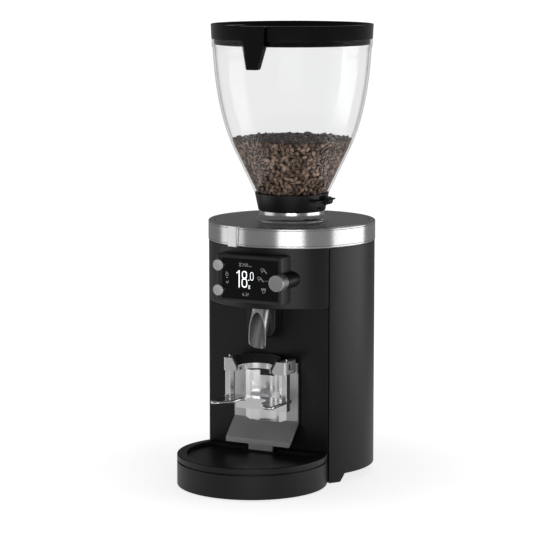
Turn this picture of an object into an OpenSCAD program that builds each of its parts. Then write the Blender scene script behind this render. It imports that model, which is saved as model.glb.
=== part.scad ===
// On-demand burr coffee grinder with a bean hopper, a touch panel and a portafilter rest.
// Millimetres, +Z up, the front faces -Y, origin on the floor under the grinding axis.

/* [Body] */
// Outer radius of the black body panels
body_r = 119.3; // [115:0.1:124]
// How far the steel adjustment ring stands out beyond the body panels
ring_out = 0.7; // [0.5:0.1:3]
// Thickness of the curved and flat body panels
panel_t = 2; // [1.5:0.1:3]
// Height of the lower edge of the side and rear panels above the floor
body_z = 12.5; // [10:0.5:13.5]
// Height of the upper edge of all body panels
body_top = 336.6; // [333:0.2:337]
// Angle between the front centre line and each front seam
seam_angle = 53.5; // [50:0.5:57]
// Angle between the front centre line and each rear seam
rear_seam_angle = 150; // [140:1:155]
// Visible gap between neighbouring panels
seam_gap = 0.8; // [0.4:0.1:1.2]
// Height of the overhanging upper front panel
head_h = 86.1; // [80:0.1:88]

/* [Base] */
// Radius of the round tray foot
foot_r = 106; // [100:0.5:108]
// Distance from the lower front panel forward to the centre of the tray foot
foot_out = 50; // [46:0.5:54]
// Height of the casting above the floor
foot_z = 2; // [1.5:0.5:4]
// Height of the tray foot's upper face
foot_top = 37.6; // [34:0.2:38]
// Wall and top thickness of the hollow casting
cast_t = 5; // [4:0.5:8]
// Radius of the rubber feet
pad_r = 11; // [8:0.5:14]

/* [Tray] */
// Height of the tray from its underside to its rim
tray_h = 8.5; // [7.5:0.1:11]
// Width of the tray's flat rim
tray_rim = 14; // [10:0.5:18]
// Thickness of the tray's floor
tray_floor = 3; // [2.5:0.1:4]
// Depth of the raised ledge at the tray's back
ledge_d = 17; // [12:0.5:22]

/* [Adjustment ring] */
// Height of the ring
ring_h = 27.8; // [24:0.2:32]
// Width of the ring's face in plan
ring_w = 8; // [6:0.5:10]
// Width of the grip tab
tab_w = 17; // [12:0.5:22]
// How far the grip tab stands out from the ring
tab_out = 4.5; // [2:0.5:7]
// Angle of the grip tab from the front, towards the left
tab_angle = 15.2; // [0:0.2:30]

/* [Hopper] */
// Height of the steel neck between the top disc and the collar
neck_h = 14; // [12.5:0.5:20]
// Height of the collar
collar_h = 25; // [23:0.5:30]
// Radius of the collar's lower edge
collar_r0 = 48.2; // [46:0.1:50]
// Radius of the collar's upper edge
collar_r1 = 53.4; // [52:0.1:56]
// Radius of the bean throat through the collar
throat_r = 27; // [24:0.5:29]
// Height of the hopper's straight cone above the collar
cone_h = 61; // [50:1:72]
// Radius of the end of the hopper's straight cone
cone_top_r = 82.4; // [78:0.2:86]
// Largest radius of the hopper below its rim
hopper_r = 113.3; // [110:0.1:114]
// Height of the clear hopper from the collar to its rim
hopper_h = 219.5; // [200:0.5:240]
// Wall of the clear hopper
hopper_t = 3; // [2.5:0.1:4]
// Depth of the coffee beans at the hopper wall, above the collar
bean_h = 74; // [64:1:120]
// How much prouder the beans heap in the middle
bean_heap = 3; // [1:0.5:5]
// How far groups of beans stand proud of the fill
bean_lump = 4.5; // [3:0.5:6]
// Height of the lid's band
lid_h = 21; // [16:0.5:26]
// How far the lid stands out beyond the hopper's rim
lid_out = 1.4; // [0.8:0.1:4]

/* [Burrs and motor] */
// Radius of the flat burrs
burr_r = 40; // [32:0.5:42]
// Thickness of each burr
burr_t = 8; // [6:0.5:9]
// Grinding gap between the burrs
burr_gap = 1; // [0.8:0.1:1.5]
// Radius of the motor shaft
shaft_r = 8; // [6:0.5:9]
// Radius of the motor housing
motor_r = 50; // [44:1:54]
// Length of the motor
motor_h = 148; // [120:1:160]

/* [Display and controls] */
// Width of the display housing
display_w = 103; // [96:0.5:110]
// Height of the display housing
display_h = 67; // [60:0.5:72]
// Height of the display's centre line above the lower edge of the upper front panel
display_up = 44; // [40:0.5:48]
// How far the display's face stands out beyond the body panels
display_out = 13.6; // [12:0.1:20]
// Shift of the display's centre to the right
display_x = 1.5; // [-3:0.5:4]
// Radius of the two push buttons
button_r = 8; // [6:0.5:9]
// Height of each button above or below the display's centre line
button_dz = 17.7; // [14:0.1:20]
// Travel of a button
button_travel = 1.5; // [1:0.1:2]
// Radius of the selector knob
knob_r = 11.5; // [9:0.5:13]
// Length of the selector knob
knob_l = 18; // [14:0.5:22]
// Push travel of the selector knob
knob_travel = 1; // [0.8:0.1:1.4]

/* [Spout] */
// Outer radius of the spout tube
spout_r = 13.8; // [11:0.1:15]
// Wall of the spout tube
spout_t = 1.4; // [1:0.1:2]
// Lean of the spout from upright
spout_lean = 20; // [15:1:25]
// Distance from the lower front panel forward to the spout's tip
spout_out = 26.4; // [24:0.2:28]
// Height of the spout's tip above the hooks
spout_up = 13.8; // [10:0.2:20]

/* [Portafilter rest] */
// Distance from the lower front panel forward to the portafilter's axis
filter_out = 39; // [37:0.5:42]
// Radius of the round backrest about the portafilter's axis
rest_r = 35.7; // [34:0.1:37]
// Half the width of the holder plate
plate_w = 50.8; // [46:0.2:56]
// Height of the holder plate from its bend to its upper edge
plate_h = 68.5; // [60:0.5:76]
// Height of the bend between the plate and its deflector
bend_z = 87.5; // [82:0.5:92]
// Thickness of the holder plate
plate_t = 4; // [3:0.5:4.5]
// Half the outer width over both hooks
hook_w = 49.5; // [48:0.5:54]
// Height of the hooks
hook_h = 18; // [14:0.5:20]
// Depth of the fork's upper face below the holder plate's upper edge
fork_down = 34.3; // [30:0.5:40]
// Thickness of the fork
fork_t = 4.6; // [3.5:0.1:6]
// Half the width of the slot between the fork's prongs
fork_slot = 20; // [16:0.5:24]
// Upper radius of the open-fronted dosing funnel
funnel_r = 35.3; // [34:0.1:36]

/* [Hidden] */
$fn = 64;
run_fit = 0.06;      // radial clearance of a shaft or thread in its bore
part_gap = 0.3;      // gap between pieces that move against each other
sheet_gap = 0.5;     // gap between a panel and the frame that carries it
long = 600;          // length of a cutting block, larger than the machine
tiny = 0.1;          // overlap of a cut past a face

ring_r = body_r + ring_out;
head_z = body_top - head_h;                      // lower edge of the upper front panel
panel_in = body_r - panel_t;
seam_half = seam_gap / 2 / body_r * 180 / PI;    // half a seam as an angle
front_y = body_r * cos(seam_angle);              // plane of the lower front panel
front_half = body_r * sin(seam_angle) - seam_gap;
foot_y = front_y + foot_out;
frame_r = panel_in - sheet_gap;                  // base, head deck
deck_z0 = body_z + panel_t;                      // base deck
deck_top = deck_z0 + 8;
leg_y0 = 55.5;                                   // front legs of the side panels
leg_y1 = 47;
leg_z = 1;
neck_cut = 2.6;                                  // step under the tray
column_x = frame_r - 38.8;
column_y0 = front_y - 29;
column_y1 = frame_r - 50.8;
column_r = 6;
bolt_r = 2.5;
pad_sink = 3;                                    // depth of the feet's seats
pad_x = 78;
pad_step = 29;                                   // front feet ahead of the tray foot's centre
pad_front = foot_r - 22;
pad_rear = [60, frame_r - 46.8];
pad_spots = [[-pad_x, -foot_y - pad_step], [pad_x, -foot_y - pad_step], [0, -foot_y - pad_front],
    [-pad_rear.x, pad_rear.y], pad_rear];

tray_z0 = foot_top + part_gap;
tray_top = tray_z0 + tray_h;
ledge_z = tray_top - 1.1;
pad_half = 23.5;                                 // notch in the tray ledge for the holder's tongue
pad_z = tray_top - 2.9;
pad_d = 27.5;

// Grinding stack, hung from the ring's lower edge
ring_lift = 0.6;                                 // gap between the body panels and the ring
ring_z = body_top + ring_lift;
motor_top = ring_z - 97.2;
motor_z = motor_top - motor_h;
head_deck_t = 8;
chamber_z = motor_top + head_deck_t;             // chamber floor
chamber_floor = 8;
chamber_r = burr_r + 22;
carrier_z = chamber_z + chamber_floor + 8;       // lower burr carrier
carrier_t = 12;
lower_burr_z = carrier_z + carrier_t;
upper_burr_z = lower_burr_z + burr_t + burr_gap;
burr_bore = burr_r - 15;
upper_z0 = upper_burr_z + burr_t - 6;            // skirt of the upper carrier round its burr
upper_r = burr_r + 10;
lower_bore = burr_r + 4;
chamber_top = upper_burr_z + burr_t + 13;
flange_t = 8;
flange_r = panel_in - 29.3;
post_ring_r = flange_r - 8;
post_r = 5;
hub_neck_r = burr_r;
hub_r = hub_neck_r + 12;
spider_z = chamber_top + 10;
spoke_t = 6;
hub_top = spider_z + spoke_t;
feed_bore = 24;
feed_r = 23;
feed_t = 2.5;
screw_r = 2;
screw_circle = burr_r - 7.5;

ring_in = ring_r - ring_w;
ring_top = ring_z + ring_h;
disc_r = ring_in - 0.6;
disc_t = 3.5;
tab_proud = 1.3;                                 // grip tab beyond the ring, above and below
rim_r = ring_in - 0.1;
rim_t = 5;

// Hopper
collar_z = ring_top + neck_h;
neck_r0 = collar_r0 + 1.8;                       // steel neck at the disc
neck_r1 = collar_r0 - 1.5;
neck_cove = 9;
neck_bore = throat_r + 4;
spigot_r = neck_bore - sheet_gap;
spigot_h = 8;
gate_z = collar_z + 14.3;
gate_t = 2.4;
gate_half = throat_r + 3;
gate_knob_r = 5.7;
gate_knob_x = collar_r1 + 3.7;
shell_z = collar_z + collar_h;
cone_top_z = shell_z + cone_h;
hopper_top = shell_z + hopper_h;
bean_z = shell_z + bean_h;
bean_lump_r = 2.5 * bean_lump;
bean_pitch = 5.1 * bean_lump;
pull_in = 4.5;                                   // middle point of the wall's curve
pull_up = 55;
shell_r0 = collar_r1 - 0.1;
rim_z = hopper_top - 9.5;
rim_out = hopper_r + 1.4;
lid_r = rim_out + lid_out;
rim_ease_z = hopper_top - 13.5;
shell_steps = 8;
lid_z = hopper_top + part_gap;
lid_top = lid_z + lid_h;
lid_skin = 3;
lid_recess = 5;
plug_h = 8;
plug_r = rim_out - hopper_t - 0.5;
lid_tab_w0 = 20.3;                               // half width of the lid's tab at its top
lid_tab_w1 = 10.8;
lid_tab_h = 60;
lid_tab_z = lid_top - lid_tab_h;
lid_tab_y = lid_r + 10;

// Display
display_z = head_z + display_up;
display_y = body_r + display_out;
display_x0 = display_x - display_w / 2;
display_x1 = display_x + display_w / 2;
display_z0 = display_z - display_h / 2;
display_back = display_y - 11;                   // plane of the display board
shell_t = 3;
glass_t = 1.6;
glass_x0 = display_x0 + 9;
glass_x1 = display_x1 - 5.5;
glass_z0 = display_z - 29;
glass_z1 = display_z + 28;
button_x = display_x0 + 4;
button_out = 4;
button_h = 8;
button_gap = 0.4;
stem_r = 3;
knob_x = display_x1 + 1;
cable_hole_r = 9;
spindle_back = body_r - 15.3;
sleeve_back = body_r - 39.3;
sleeve_gap = knob_travel + 0.5;
spindle_r = 3;
knob_bore_l = 12;
sleeve_wall = 2;
sleeve_cap = 3;

// Portafilter rest
plate_y = front_y + 8.2;                         // front face of the holder plate
filter_y = front_y + filter_out;
plate_top = bend_z + plate_h;
hook_z = plate_top + 3;
fork_z = plate_top - fork_down;
rest_t = 1.8;
rest_half = 22.6;                                // lips of the backrest
rest_flank = 32.6;                               // where its flanks meet the plate
lip_y = plate_y + 26.3;
lip_h = 7;
rest_z0 = bend_z - 3;                            // lower end of the backrest, on the deflector
tongue_half = 18.6;
tongue_y0 = plate_y + 13;
tongue_y1 = plate_y + 18;
post_x0 = hook_w - 8.5;
post_x1 = hook_w - 0.5;
post_y0 = filter_y - 11;
post_y1 = filter_y + 1;
hook_y0 = plate_y + 0.2;
hook_y1 = filter_y + 5;
funnel_z0 = hook_z + 4.5;
funnel_h = 14.5;
funnel_r0 = funnel_r - 7.6;
funnel_slope = (funnel_r - funnel_r0) / funnel_h;
funnel_front = filter_y + 5;                     // plane where the funnel is open
funnel_lip = 2;                                  // rolled rim above the cone
seat_r = funnel_r0 - 1.4;                        // polished seat band
seat_t = 1.2;
seat_z0 = hook_z + 1;
seat_z1 = hook_z + 9;
arm_half = 11;
fork_tip = filter_y + 47;
fork_half = 50;
apron_t = 4;
apron_h = 11;
clamp_z = hook_z + 3;
mount_half = 12;                                 // foot that bolts to the load cell
mount_z0 = bend_z + 3;
mount_z1 = bend_z + 17;

// Spout
spout_tip_z = hook_z + hook_h + spout_up;
spout_axis_y = front_y + spout_out + spout_r * cos(spout_lean);
spout_axis_z = spout_tip_z + spout_r * sin(spout_lean);
mouth_y = front_y + spout_out + 10.9;            // plane of the spout's open front
mouth_round = 11;
duct_half = 22;
duct_y = front_y + 23;
duct_z = spout_tip_z + 12.2;
duct_top = chamber_z + 40;
duct_back = chamber_r + sheet_gap;

// Rear
inlet_z = body_z + 33.5;
inlet_y = body_r - 23.3;                         // back of the inlet's socket
bezel_out = 0.3;                                 // how deep the inlet and switch sit in the round panel
bezel_rim = 1.2;                                 // how far their flanges stand out
inlet_half = 14;
inlet_up = 10;
switch_z = inlet_z + 38;
switch_half = 11;
switch_up = 7.5;
rocker_y = body_r - 5.3;
rocker_tilt = 8;
pivot_r = 1;
vent_z = 150;
vent_step = 9;
vents = 9;
vent_half = 34;

// Part of a round wall between two radii, two heights and two angles from the front, rightwards
module wall_sector(r0, r1, z0, z1, a0, a1) {
    translate([0, 0, z0])
        rotate_extrude(angle = a1 - a0, start = a0 - 90)
            translate([r0, 0]) square([r1 - r0, z1 - z0]);
}

module tube(r0, r1, z0, z1) {
    translate([0, 0, z0]) difference() {
        cylinder(h = z1 - z0, r = r1);
        translate([0, 0, -tiny]) cylinder(h = z1 - z0 + 2 * tiny, r = r0);
    }
}

module box(lo, hi) {
    translate(lo) cube(hi - lo);
}

// Block with its four vertical edges rounded
module round_post(lo, hi, r) {
    box([lo.x + r, lo.y, lo.z], [hi.x - r, hi.y, hi.z]);
    box([lo.x, lo.y + r, lo.z], [hi.x, hi.y - r, hi.z]);
    for (x = [lo.x + r, hi.x - r], y = [lo.y + r, hi.y - r])
        translate([x, y, lo.z]) cylinder(h = hi.z - lo.z, r = r);
}

// Cylinder along -Y, from depth y0 forward to y1
module rod_y(x, z, r, y0, y1) {
    translate([x, -y0, z]) rotate([90, 0, 0]) cylinder(h = y1 - y0, r = r);
}

module both_sides() {
    children();
    mirror([1, 0, 0]) children();
}

// ---- Base and frame ----

module base() {
    inner = foot_r - cast_t;
    color("#1b1b1c") difference() {
        union() {
            difference() {
                union() {
                    translate([0, -foot_y, foot_z]) cylinder(h = foot_top - foot_z - 1.4, r = foot_r);
                    translate([0, -foot_y, foot_z]) cylinder(h = foot_top - foot_z, r = foot_r - neck_cut);
                }
                box([-long, -front_y - part_gap, deck_top], [long, long, long]);
                box([-long, -front_y + cast_t, 0], [long, long, long]);
            }
            intersection() {
                translate([0, 0, foot_z]) cylinder(h = deck_top - foot_z, r = frame_r);
                box([-front_half, -front_y, 0], [front_half, -leg_y0 + 10, long]);
            }
            intersection() {
                translate([0, 0, deck_z0]) cylinder(h = deck_top - deck_z0, r = frame_r);
                box([-long, -front_y, 0], [long, long, long]);
            }
        }
        difference() {
            translate([0, -foot_y, -tiny]) cylinder(h = foot_top - cast_t + tiny, r = inner);
            box([-long, -front_y - cast_t, 0], [long, long, long]);
            for (p = pad_spots) translate([p.x, p.y, 0]) cylinder(h = foot_top, r = pad_r + 2);
        }
        for (p = pad_spots) translate([p.x, p.y, -tiny])
            cylinder(h = pad_h(p) + tiny, r = pad_r + run_fit);
    }
}

// The rear feet reach up to the raised deck
function pad_h(p) = (p.y < -front_y ? foot_z : deck_z0) + pad_sink;

module rubber_feet() {
    color("#111111") for (p = pad_spots) translate([p.x, p.y, 0]) cylinder(h = pad_h(p), r = pad_r);
}

module head_deck() {
    color("#8d9094") difference() {
        intersection() {
            translate([0, 0, motor_top]) cylinder(h = head_deck_t, r = frame_r);
            box([-long, -front_y + panel_t + part_gap, 0], [long, long, long]);
        }
        translate([0, 0, motor_top - tiny]) cylinder(h = long, r = shaft_r + 12);
        motor_bolt_spots() cylinder(h = long, r = bolt_r + run_fit);
    }
}

module frame_columns() {
    color("#9a9da1") for (x = [-column_x, column_x], y = [-column_y0, column_y1])
        translate([x, y, deck_top]) cylinder(h = motor_top - deck_top, r = column_r);
}

// ---- Body panels ----

module side_panel_right() {
    color("#202124") difference() {
        wall_sector(panel_in, body_r, leg_z, body_top, seam_angle + seam_half, rear_seam_angle - seam_half);
        // raised lower edge behind the front leg
        rotate([90, 0, 90]) linear_extrude(height = long)
            polygon([[-leg_y0, -tiny], [-leg_y1, body_z], [long, body_z], [long, -tiny]]);
        panel_screw_spots() translate([0, 0, -3]) cylinder(h = long, r = screw_r + run_fit);
    }
}

module side_panel_left() {
    mirror([1, 0, 0]) side_panel_right();
}

module rear_panel() {
    slot_r = 1.8;
    color("#202124") difference() {
        wall_sector(panel_in, body_r, body_z, body_top, rear_seam_angle + seam_half,
            360 - rear_seam_angle - seam_half);
        for (i = [0:vents - 1]) translate([0, 0, vent_z + i * vent_step])
            box([-vent_half, 90, -slot_r], [vent_half, long, slot_r]);
        inlet_block(inlet_half + part_gap, inlet_up + part_gap, 90, long, inlet_z);
        inlet_block(switch_half + part_gap, switch_up + part_gap, 90, long, switch_z);
    }
}

module front_panel_upper() {
    a = seam_angle - seam_half;
    lip = 3;
    color("#202124") difference() {
        union() {
            wall_sector(panel_in, body_r, head_z + lip, body_top, -a, a);
            // rounded lower edge and underside of the head
            intersection() {
                translate([0, 0, head_z + lip]) rotate_extrude() translate([body_r - lip, 0]) circle(r = lip);
                box([-front_half, -long, head_z], [front_half, -front_y, head_z + lip]);
            }
            intersection() {
                translate([0, 0, head_z]) cylinder(h = lip, r = body_r - lip);
                box([-front_half, -long, 0], [front_half, -front_y, long]);
            }
        }
        box([-duct_half - part_gap, -duct_y - part_gap, head_z - tiny],
            [duct_half + part_gap, -front_y + tiny, head_z + lip + tiny]);
        spout_bore(spout_r + part_gap);
        // cable opening behind the display
        rod_y(display_x, display_z, cable_hole_r, front_y, body_r + 10);
        rod_y(knob_x, display_z, spindle_r + 2, front_y, body_r + 10);
    }
}

module front_panel_lower() {
    color("#202124") difference() {
        box([-front_half + seam_gap, -front_y, deck_top + part_gap],
            [front_half - seam_gap, -front_y + panel_t, head_z - part_gap]);
        box([-mount_half - part_gap, -long, mount_z0 - part_gap],
            [mount_half + part_gap, 0, mount_z1 + part_gap]);
    }
}

// Places on the right side panel, beside the rear seam, facing outwards
module panel_screw_spots() {
    for (z = [body_z + 27.5, body_top - 161.6, body_top - 26.6]) rotate([0, 0, rear_seam_angle - 90 - 4])
        translate([panel_in, 0, z]) rotate([0, 90, 0]) children();
}

module panel_screws() {
    color("#17181a") both_sides() panel_screw_spots() {
        translate([0, 0, -2]) cylinder(h = panel_t + 2, r = screw_r);
        translate([0, 0, panel_t]) cylinder(h = 1.2, r = 3.4);
    }
}

// ---- Rear connections ----

// Rectangular block through the rear panel
module inlet_block(half, up, y0, y1, z) {
    box([-half, y0, z - up], [half, y1, z + up]);
}

// Flange that lies on the round rear panel
module rear_flange(half, up, z) {
    difference() {
        inlet_block(half, up, body_r - 4, body_r + bezel_rim, z);
        translate([0, 0, z - up - 1]) cylinder(h = 2 * up + 2, r = body_r);
    }
}

module power_inlet() {
    color("#141414") {
        difference() {
            union() {
                inlet_block(inlet_half, inlet_up, inlet_y, body_r - bezel_out, inlet_z);
                rear_flange(inlet_half + 3, inlet_up + 3, inlet_z);
            }
            inlet_block(inlet_half - 2, inlet_up - 2, inlet_y + 3, long, inlet_z);
        }
        for (x = [-7, 0, 7])
            inlet_pin(x, inlet_z + (x == 0 ? 3 : -2), inlet_y + 2);
    }
}

module inlet_pin(x, z, y0) {
    box([x - 1, y0, z - 2], [x + 1, inlet_y + 17, z + 2]);
}

module power_switch() {
    color("#1a1a1a") difference() {
        union() {
            inlet_block(switch_half, switch_up, rocker_y - 10, body_r - bezel_out, switch_z);
            rear_flange(switch_half + 2.5, switch_up + 2.5, switch_z);
        }
        inlet_block(switch_half - 1.5, switch_up - 1.5, rocker_y - 8, long, switch_z);
        translate([-long, rocker_y, switch_z]) rotate([0, 90, 0])
            cylinder(h = 2 * long, r = pivot_r + run_fit);
    }
}

module power_rocker() {
    color("#202020") translate([0, rocker_y, switch_z]) rotate([rocker_tilt, 0, 0]) {
        rotate([90, 0, 90]) translate([0, 0, part_gap + 1.5 - switch_half])
            linear_extrude(height = 2 * (switch_half - 1.5 - part_gap))
                polygon([[-5, -2.5], [-5, 2.5], [3, 5], [4.4, 5], [3.4, 0], [4.4, -5], [3, -5]]);
        translate([-switch_half + 0.3, 0, 0]) rotate([0, 90, 0])
            cylinder(h = 2 * switch_half - 0.6, r = pivot_r);
    }
}

// ---- Motor ----

module motor_stator() {
    color("#6f7478") tube(motor_r - 21.4, motor_r, motor_z + 13, motor_top - 20);
}

module motor_upper_bell() {
    color("#a4a8ac") difference() {
        translate([0, 0, motor_top - 20]) cylinder(h = 20, r = motor_r);
        translate([0, 0, motor_top - 20 - tiny]) cylinder(h = 8 + tiny, r = motor_r - 6);
        translate([0, 0, motor_top - 12 - tiny]) cylinder(h = 10 + tiny, r = shaft_r + 8 + 0.02);
        translate([0, 0, motor_top - 4]) cylinder(h = 10, r = shaft_r + 2);
        motor_bolt_spots() cylinder(h = long, r = bolt_r + run_fit);
    }
}

module motor_lower_bell() {
    color("#a4a8ac") difference() {
        translate([0, 0, motor_z]) cylinder(h = 13, r = motor_r);
        translate([0, 0, motor_z + 3]) cylinder(h = 20, r = shaft_r + 8 + 0.02);
        translate([0, 0, motor_z - tiny]) cylinder(h = 20, r = shaft_r + 2);
    }
}

// Bolt places, from the bottom of the bolts in the bell up
module motor_bolt_spots() {
    for (a = [45:90:315]) rotate([0, 0, a]) translate([motor_r - 10, 0, motor_top - 7]) children();
}

module motor_bolts() {
    color("#c4c6c8") motor_bolt_spots() {
        cylinder(h = 7 + head_deck_t, r = bolt_r);
        translate([0, 0, 7 + head_deck_t]) cylinder(h = 4, r = 4);
    }
}

module motor_bearings() {
    color("#b9bcc0") for (z = [motor_z + 3, motor_top - 12])
        tube(shaft_r + run_fit, shaft_r + 8, z, z + 10);
}

module motor_shaft() {
    color("#c9ccd0") translate([0, 0, motor_z - 14])
        cylinder(h = lower_burr_z - motor_z + 14, r = shaft_r);
}

module motor_rotor() {
    color("#85898d") tube(shaft_r + 0.02, motor_r - 22, motor_z + 18, motor_top - 26);
}

module cooling_fan() {
    blades = 9;
    color("#2b2d30") {
        tube(shaft_r + 0.02, 14, motor_z - 12, motor_z - 2);
        for (i = [0:blades - 1]) rotate([0, 0, i * 360 / blades])
            translate([0, 0, motor_z - 7]) rotate([28, 0, 0])
                box([13.5, -0.8, -4.5], [motor_r - 9, 0.8, 4.5]);
    }
}

module run_capacitor() {
    capacitor_r = 17;
    room = inlet_y - motor_r - 2 * capacitor_r;      // free depth between the motor and the inlet
    color("#3c3f42") translate([0, motor_r + capacitor_r + room * 5 / 12, deck_top])
        cylinder(h = 75, r = capacitor_r);
}

module control_board() {
    x = column_x + column_r;
    z0 = deck_top + 47.5;
    z1 = motor_top - 40;
    clip_h = 8;
    color("#1f5a36") box([-x - 3.6, -column_y0 - 4, z0], [-x - 2, column_y1 + 4, z1]);
    // clips on the columns
    color("#9a9da1") for (y = [-column_y0, column_y1], z = [z0 + 10, z1 - 20])
        box([-x - 2.1, y - 3, z], [-x, y + 3, z + clip_h]);
}

// ---- Grinding chamber and burrs ----

module grind_chamber() {
    color("#9fa3a7") difference() {
        union() {
            translate([0, 0, chamber_z]) cylinder(h = chamber_top - chamber_z, r = chamber_r);
            translate([0, 0, chamber_top - flange_t]) cylinder(h = flange_t, r = flange_r);
        }
        translate([0, 0, chamber_z - tiny]) cylinder(h = long, r = shaft_r + 1);
        translate([0, 0, chamber_z + chamber_floor]) cylinder(h = long, r = lower_bore);
        translate([0, 0, upper_z0 - 1]) cylinder(h = long, r = upper_r + run_fit);
        // room for the motor's bolt heads and the outlet window
        motor_bolt_spots() cylinder(h = 7 + head_deck_t + 4.4, r = 4.4);
        box([-12, -long, carrier_z], [12, -lower_bore + 6, carrier_z + 16]);
    }
}

module lower_burr_carrier() {
    arms = 3;
    color("#b2b5b9") difference() {
        union() {
            translate([0, 0, carrier_z]) cylinder(h = carrier_t, r = burr_r - 2);
            for (i = [0:arms - 1]) rotate([0, 0, i * 360 / arms])
                box([burr_r - 6, -4, carrier_z], [lower_bore - 1, 4, carrier_z + 6]);
        }
        translate([0, 0, carrier_z - tiny]) cylinder(h = carrier_t + 2 * tiny, r = shaft_r + 0.02);
    }
}

module burr_screw_spots(a0) {
    for (i = [0:2]) rotate([0, 0, a0 + i * 120]) translate([screw_circle, 0, 0]) children();
}

// Flat burr with its teeth as slanting grooves in the upper face
module burr(a0) {
    grooves = 24;
    difference() {
        cylinder(h = burr_t, r = burr_r);
        translate([0, 0, -tiny]) cylinder(h = long, r = burr_bore);
        for (i = [0:grooves - 1]) rotate([0, 0, i * 360 / grooves])
            translate([0, burr_bore * 0.4, burr_t - 1.4]) box([burr_bore - 6, -1, 0], [burr_r + 6, 1, 4]);
        burr_screw_spots(a0) translate([0, 0, -tiny]) cylinder(h = long, r = screw_r + 0.1);
        burr_screw_spots(a0) translate([0, 0, burr_t - 4.5]) cylinder(h = long, r = 2 * screw_r + 0.2);
    }
}

module burr_screws(a0) {
    color("#d0d2d4") burr_screw_spots(a0) {
        cylinder(h = burr_t - 2.5, r = screw_r);
        translate([0, 0, burr_t - 4.5]) cylinder(h = 2, r = 2 * screw_r);
    }
}

module lower_burr() {
    color("#c3a35a") translate([0, 0, lower_burr_z]) burr(7.5);
}

module lower_burr_screws() {
    translate([0, 0, lower_burr_z]) burr_screws(7.5);
}

module burr_cap() {
    color("#b2b5b9") translate([0, 0, lower_burr_z]) {
        cylinder(h = 4, r = burr_bore - 5);
        translate([0, 0, 4]) cylinder(h = 7, r1 = burr_bore - 5, r2 = 6);
    }
}

module upper_burr() {
    color("#c3a35a") translate([0, 0, upper_burr_z + burr_t]) rotate([180, 0, 0]) burr(0);
}

module upper_burr_screws() {
    translate([0, 0, upper_burr_z + burr_t]) rotate([180, 0, 0]) burr_screws(0);
}

module upper_burr_carrier() {
    color("#a9adb1") difference() {
        union() {
            translate([0, 0, upper_z0]) cylinder(h = chamber_top - 2 - upper_z0, r = upper_r);
            translate([0, 0, chamber_top - 2 - tiny]) cylinder(h = hub_top - chamber_top, r = hub_neck_r);
        }
        translate([0, 0, upper_z0 - tiny]) cylinder(h = long, r = feed_bore);
        translate([0, 0, upper_z0 - tiny])
            cylinder(h = upper_burr_z + burr_t - upper_z0 + tiny, r = burr_r + 0.1);
    }
}

// ---- Adjustment ring and top ----

module ring_spider() {
    color("#7f8387") difference() {
        union() {
            translate([0, 0, chamber_top + 1]) cylinder(h = hub_top - chamber_top - 1, r = hub_r);
            for (a = [30, 150, 270]) rotate([0, 0, a])
                box([hub_r - 4, -8, spider_z], [rim_r - 3, 8, hub_top]);
            tube(rim_r - rim_t, rim_r, spider_z, ring_z + 11);
            tube(rim_r - tiny, panel_in - 0.8, ring_z - 4.2, ring_z);
        }
        translate([0, 0, chamber_top]) cylinder(h = long, r = hub_neck_r + run_fit);
    }
}

module adjustment_ring() {
    bevel = 1.2;
    groove = 0.5;
    color("#c8cacc") difference() {
        union() {
            translate([0, 0, ring_z]) rotate_extrude() polygon([[ring_in, 0], [ring_r - bevel, 0],
                [ring_r, bevel], [ring_r, ring_h - bevel], [ring_r - bevel, ring_h], [ring_in, ring_h]]);
            rotate([0, 0, -tab_angle - 90]) round_post([ring_in + 1, -tab_w / 2, ring_z - tab_proud],
                [ring_r + tab_out, tab_w / 2, ring_top + tab_proud], 1.2);
        }
        for (z = [ring_z + 3, ring_top - 3]) translate([0, 0, z]) difference() {
            tube(ring_r - groove, ring_r + 1, -groove, groove);
            rotate([0, 0, -tab_angle - 90]) box([0, -tab_w / 2 - 1, -1], [long, tab_w / 2 + 1, 1]);
        }
        // the tab stays clear of the spider's lip
        translate([0, 0, ring_z - tab_proud - 1]) cylinder(h = tab_proud + 1, r = body_r + 0.5);
    }
}

module disc_posts() {
    color("#9a9da1") for (a = [90, 210, 330]) rotate([0, 0, a]) translate([post_ring_r, 0, chamber_top])
        cylinder(h = ring_top - disc_t - chamber_top, r = post_r);
}

module top_disc() {
    color("#3a3b3d") tube(feed_r + 1, disc_r, ring_top - disc_t, ring_top);
}

module hopper_neck() {
    flange = 1.2;
    h = collar_z - ring_top - part_gap;
    color("#d4d6d8") difference() {
        union() {
            // coved steel neck
            translate([0, 0, ring_top]) rotate_extrude() difference() {
                union() {
                    translate([neck_bore, 0]) square([neck_r1 - neck_bore, h]);
                    translate([neck_bore, 0]) square([neck_r0 - neck_bore, flange]);
                    translate([neck_bore, 0]) square([neck_r0 - 2 - neck_bore, h / 2]);
                }
                translate([neck_r1 + neck_cove, flange + neck_cove]) circle(r = neck_cove);
            }
            tube(feed_r - feed_t, neck_bore + tiny, ring_top, ring_top + 2);
            tube(feed_r - feed_t, feed_r, hub_top - 12, ring_top + 2);
        }
    }
}

// ---- Hopper ----

// Point on a curve that starts and ends along the hopper's wall
function wall_point(t, p0, p1, p2) = (1 - t) * (1 - t) * p0 + 2 * t * (1 - t) * p1 + t * t * p2;

function shell_wall(inset) = [
    [shell_r0 - inset, shell_z],
    for (i = [0:shell_steps]) wall_point(i / shell_steps, [cone_top_r - inset, cone_top_z],
        [hopper_r - pull_in - inset, cone_top_z + pull_up], [hopper_r - inset, rim_ease_z]),
    [rim_out - inset, rim_z],
    [rim_out - inset, hopper_top]];

module hopper_shell() {
    outer = shell_wall(0);
    inner = shell_wall(hopper_t);
    color("#e8ecee", 0.3) rotate_extrude()
        polygon(concat(outer, [for (i = [len(inner) - 1:-1:0]) inner[i]]));
}

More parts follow.
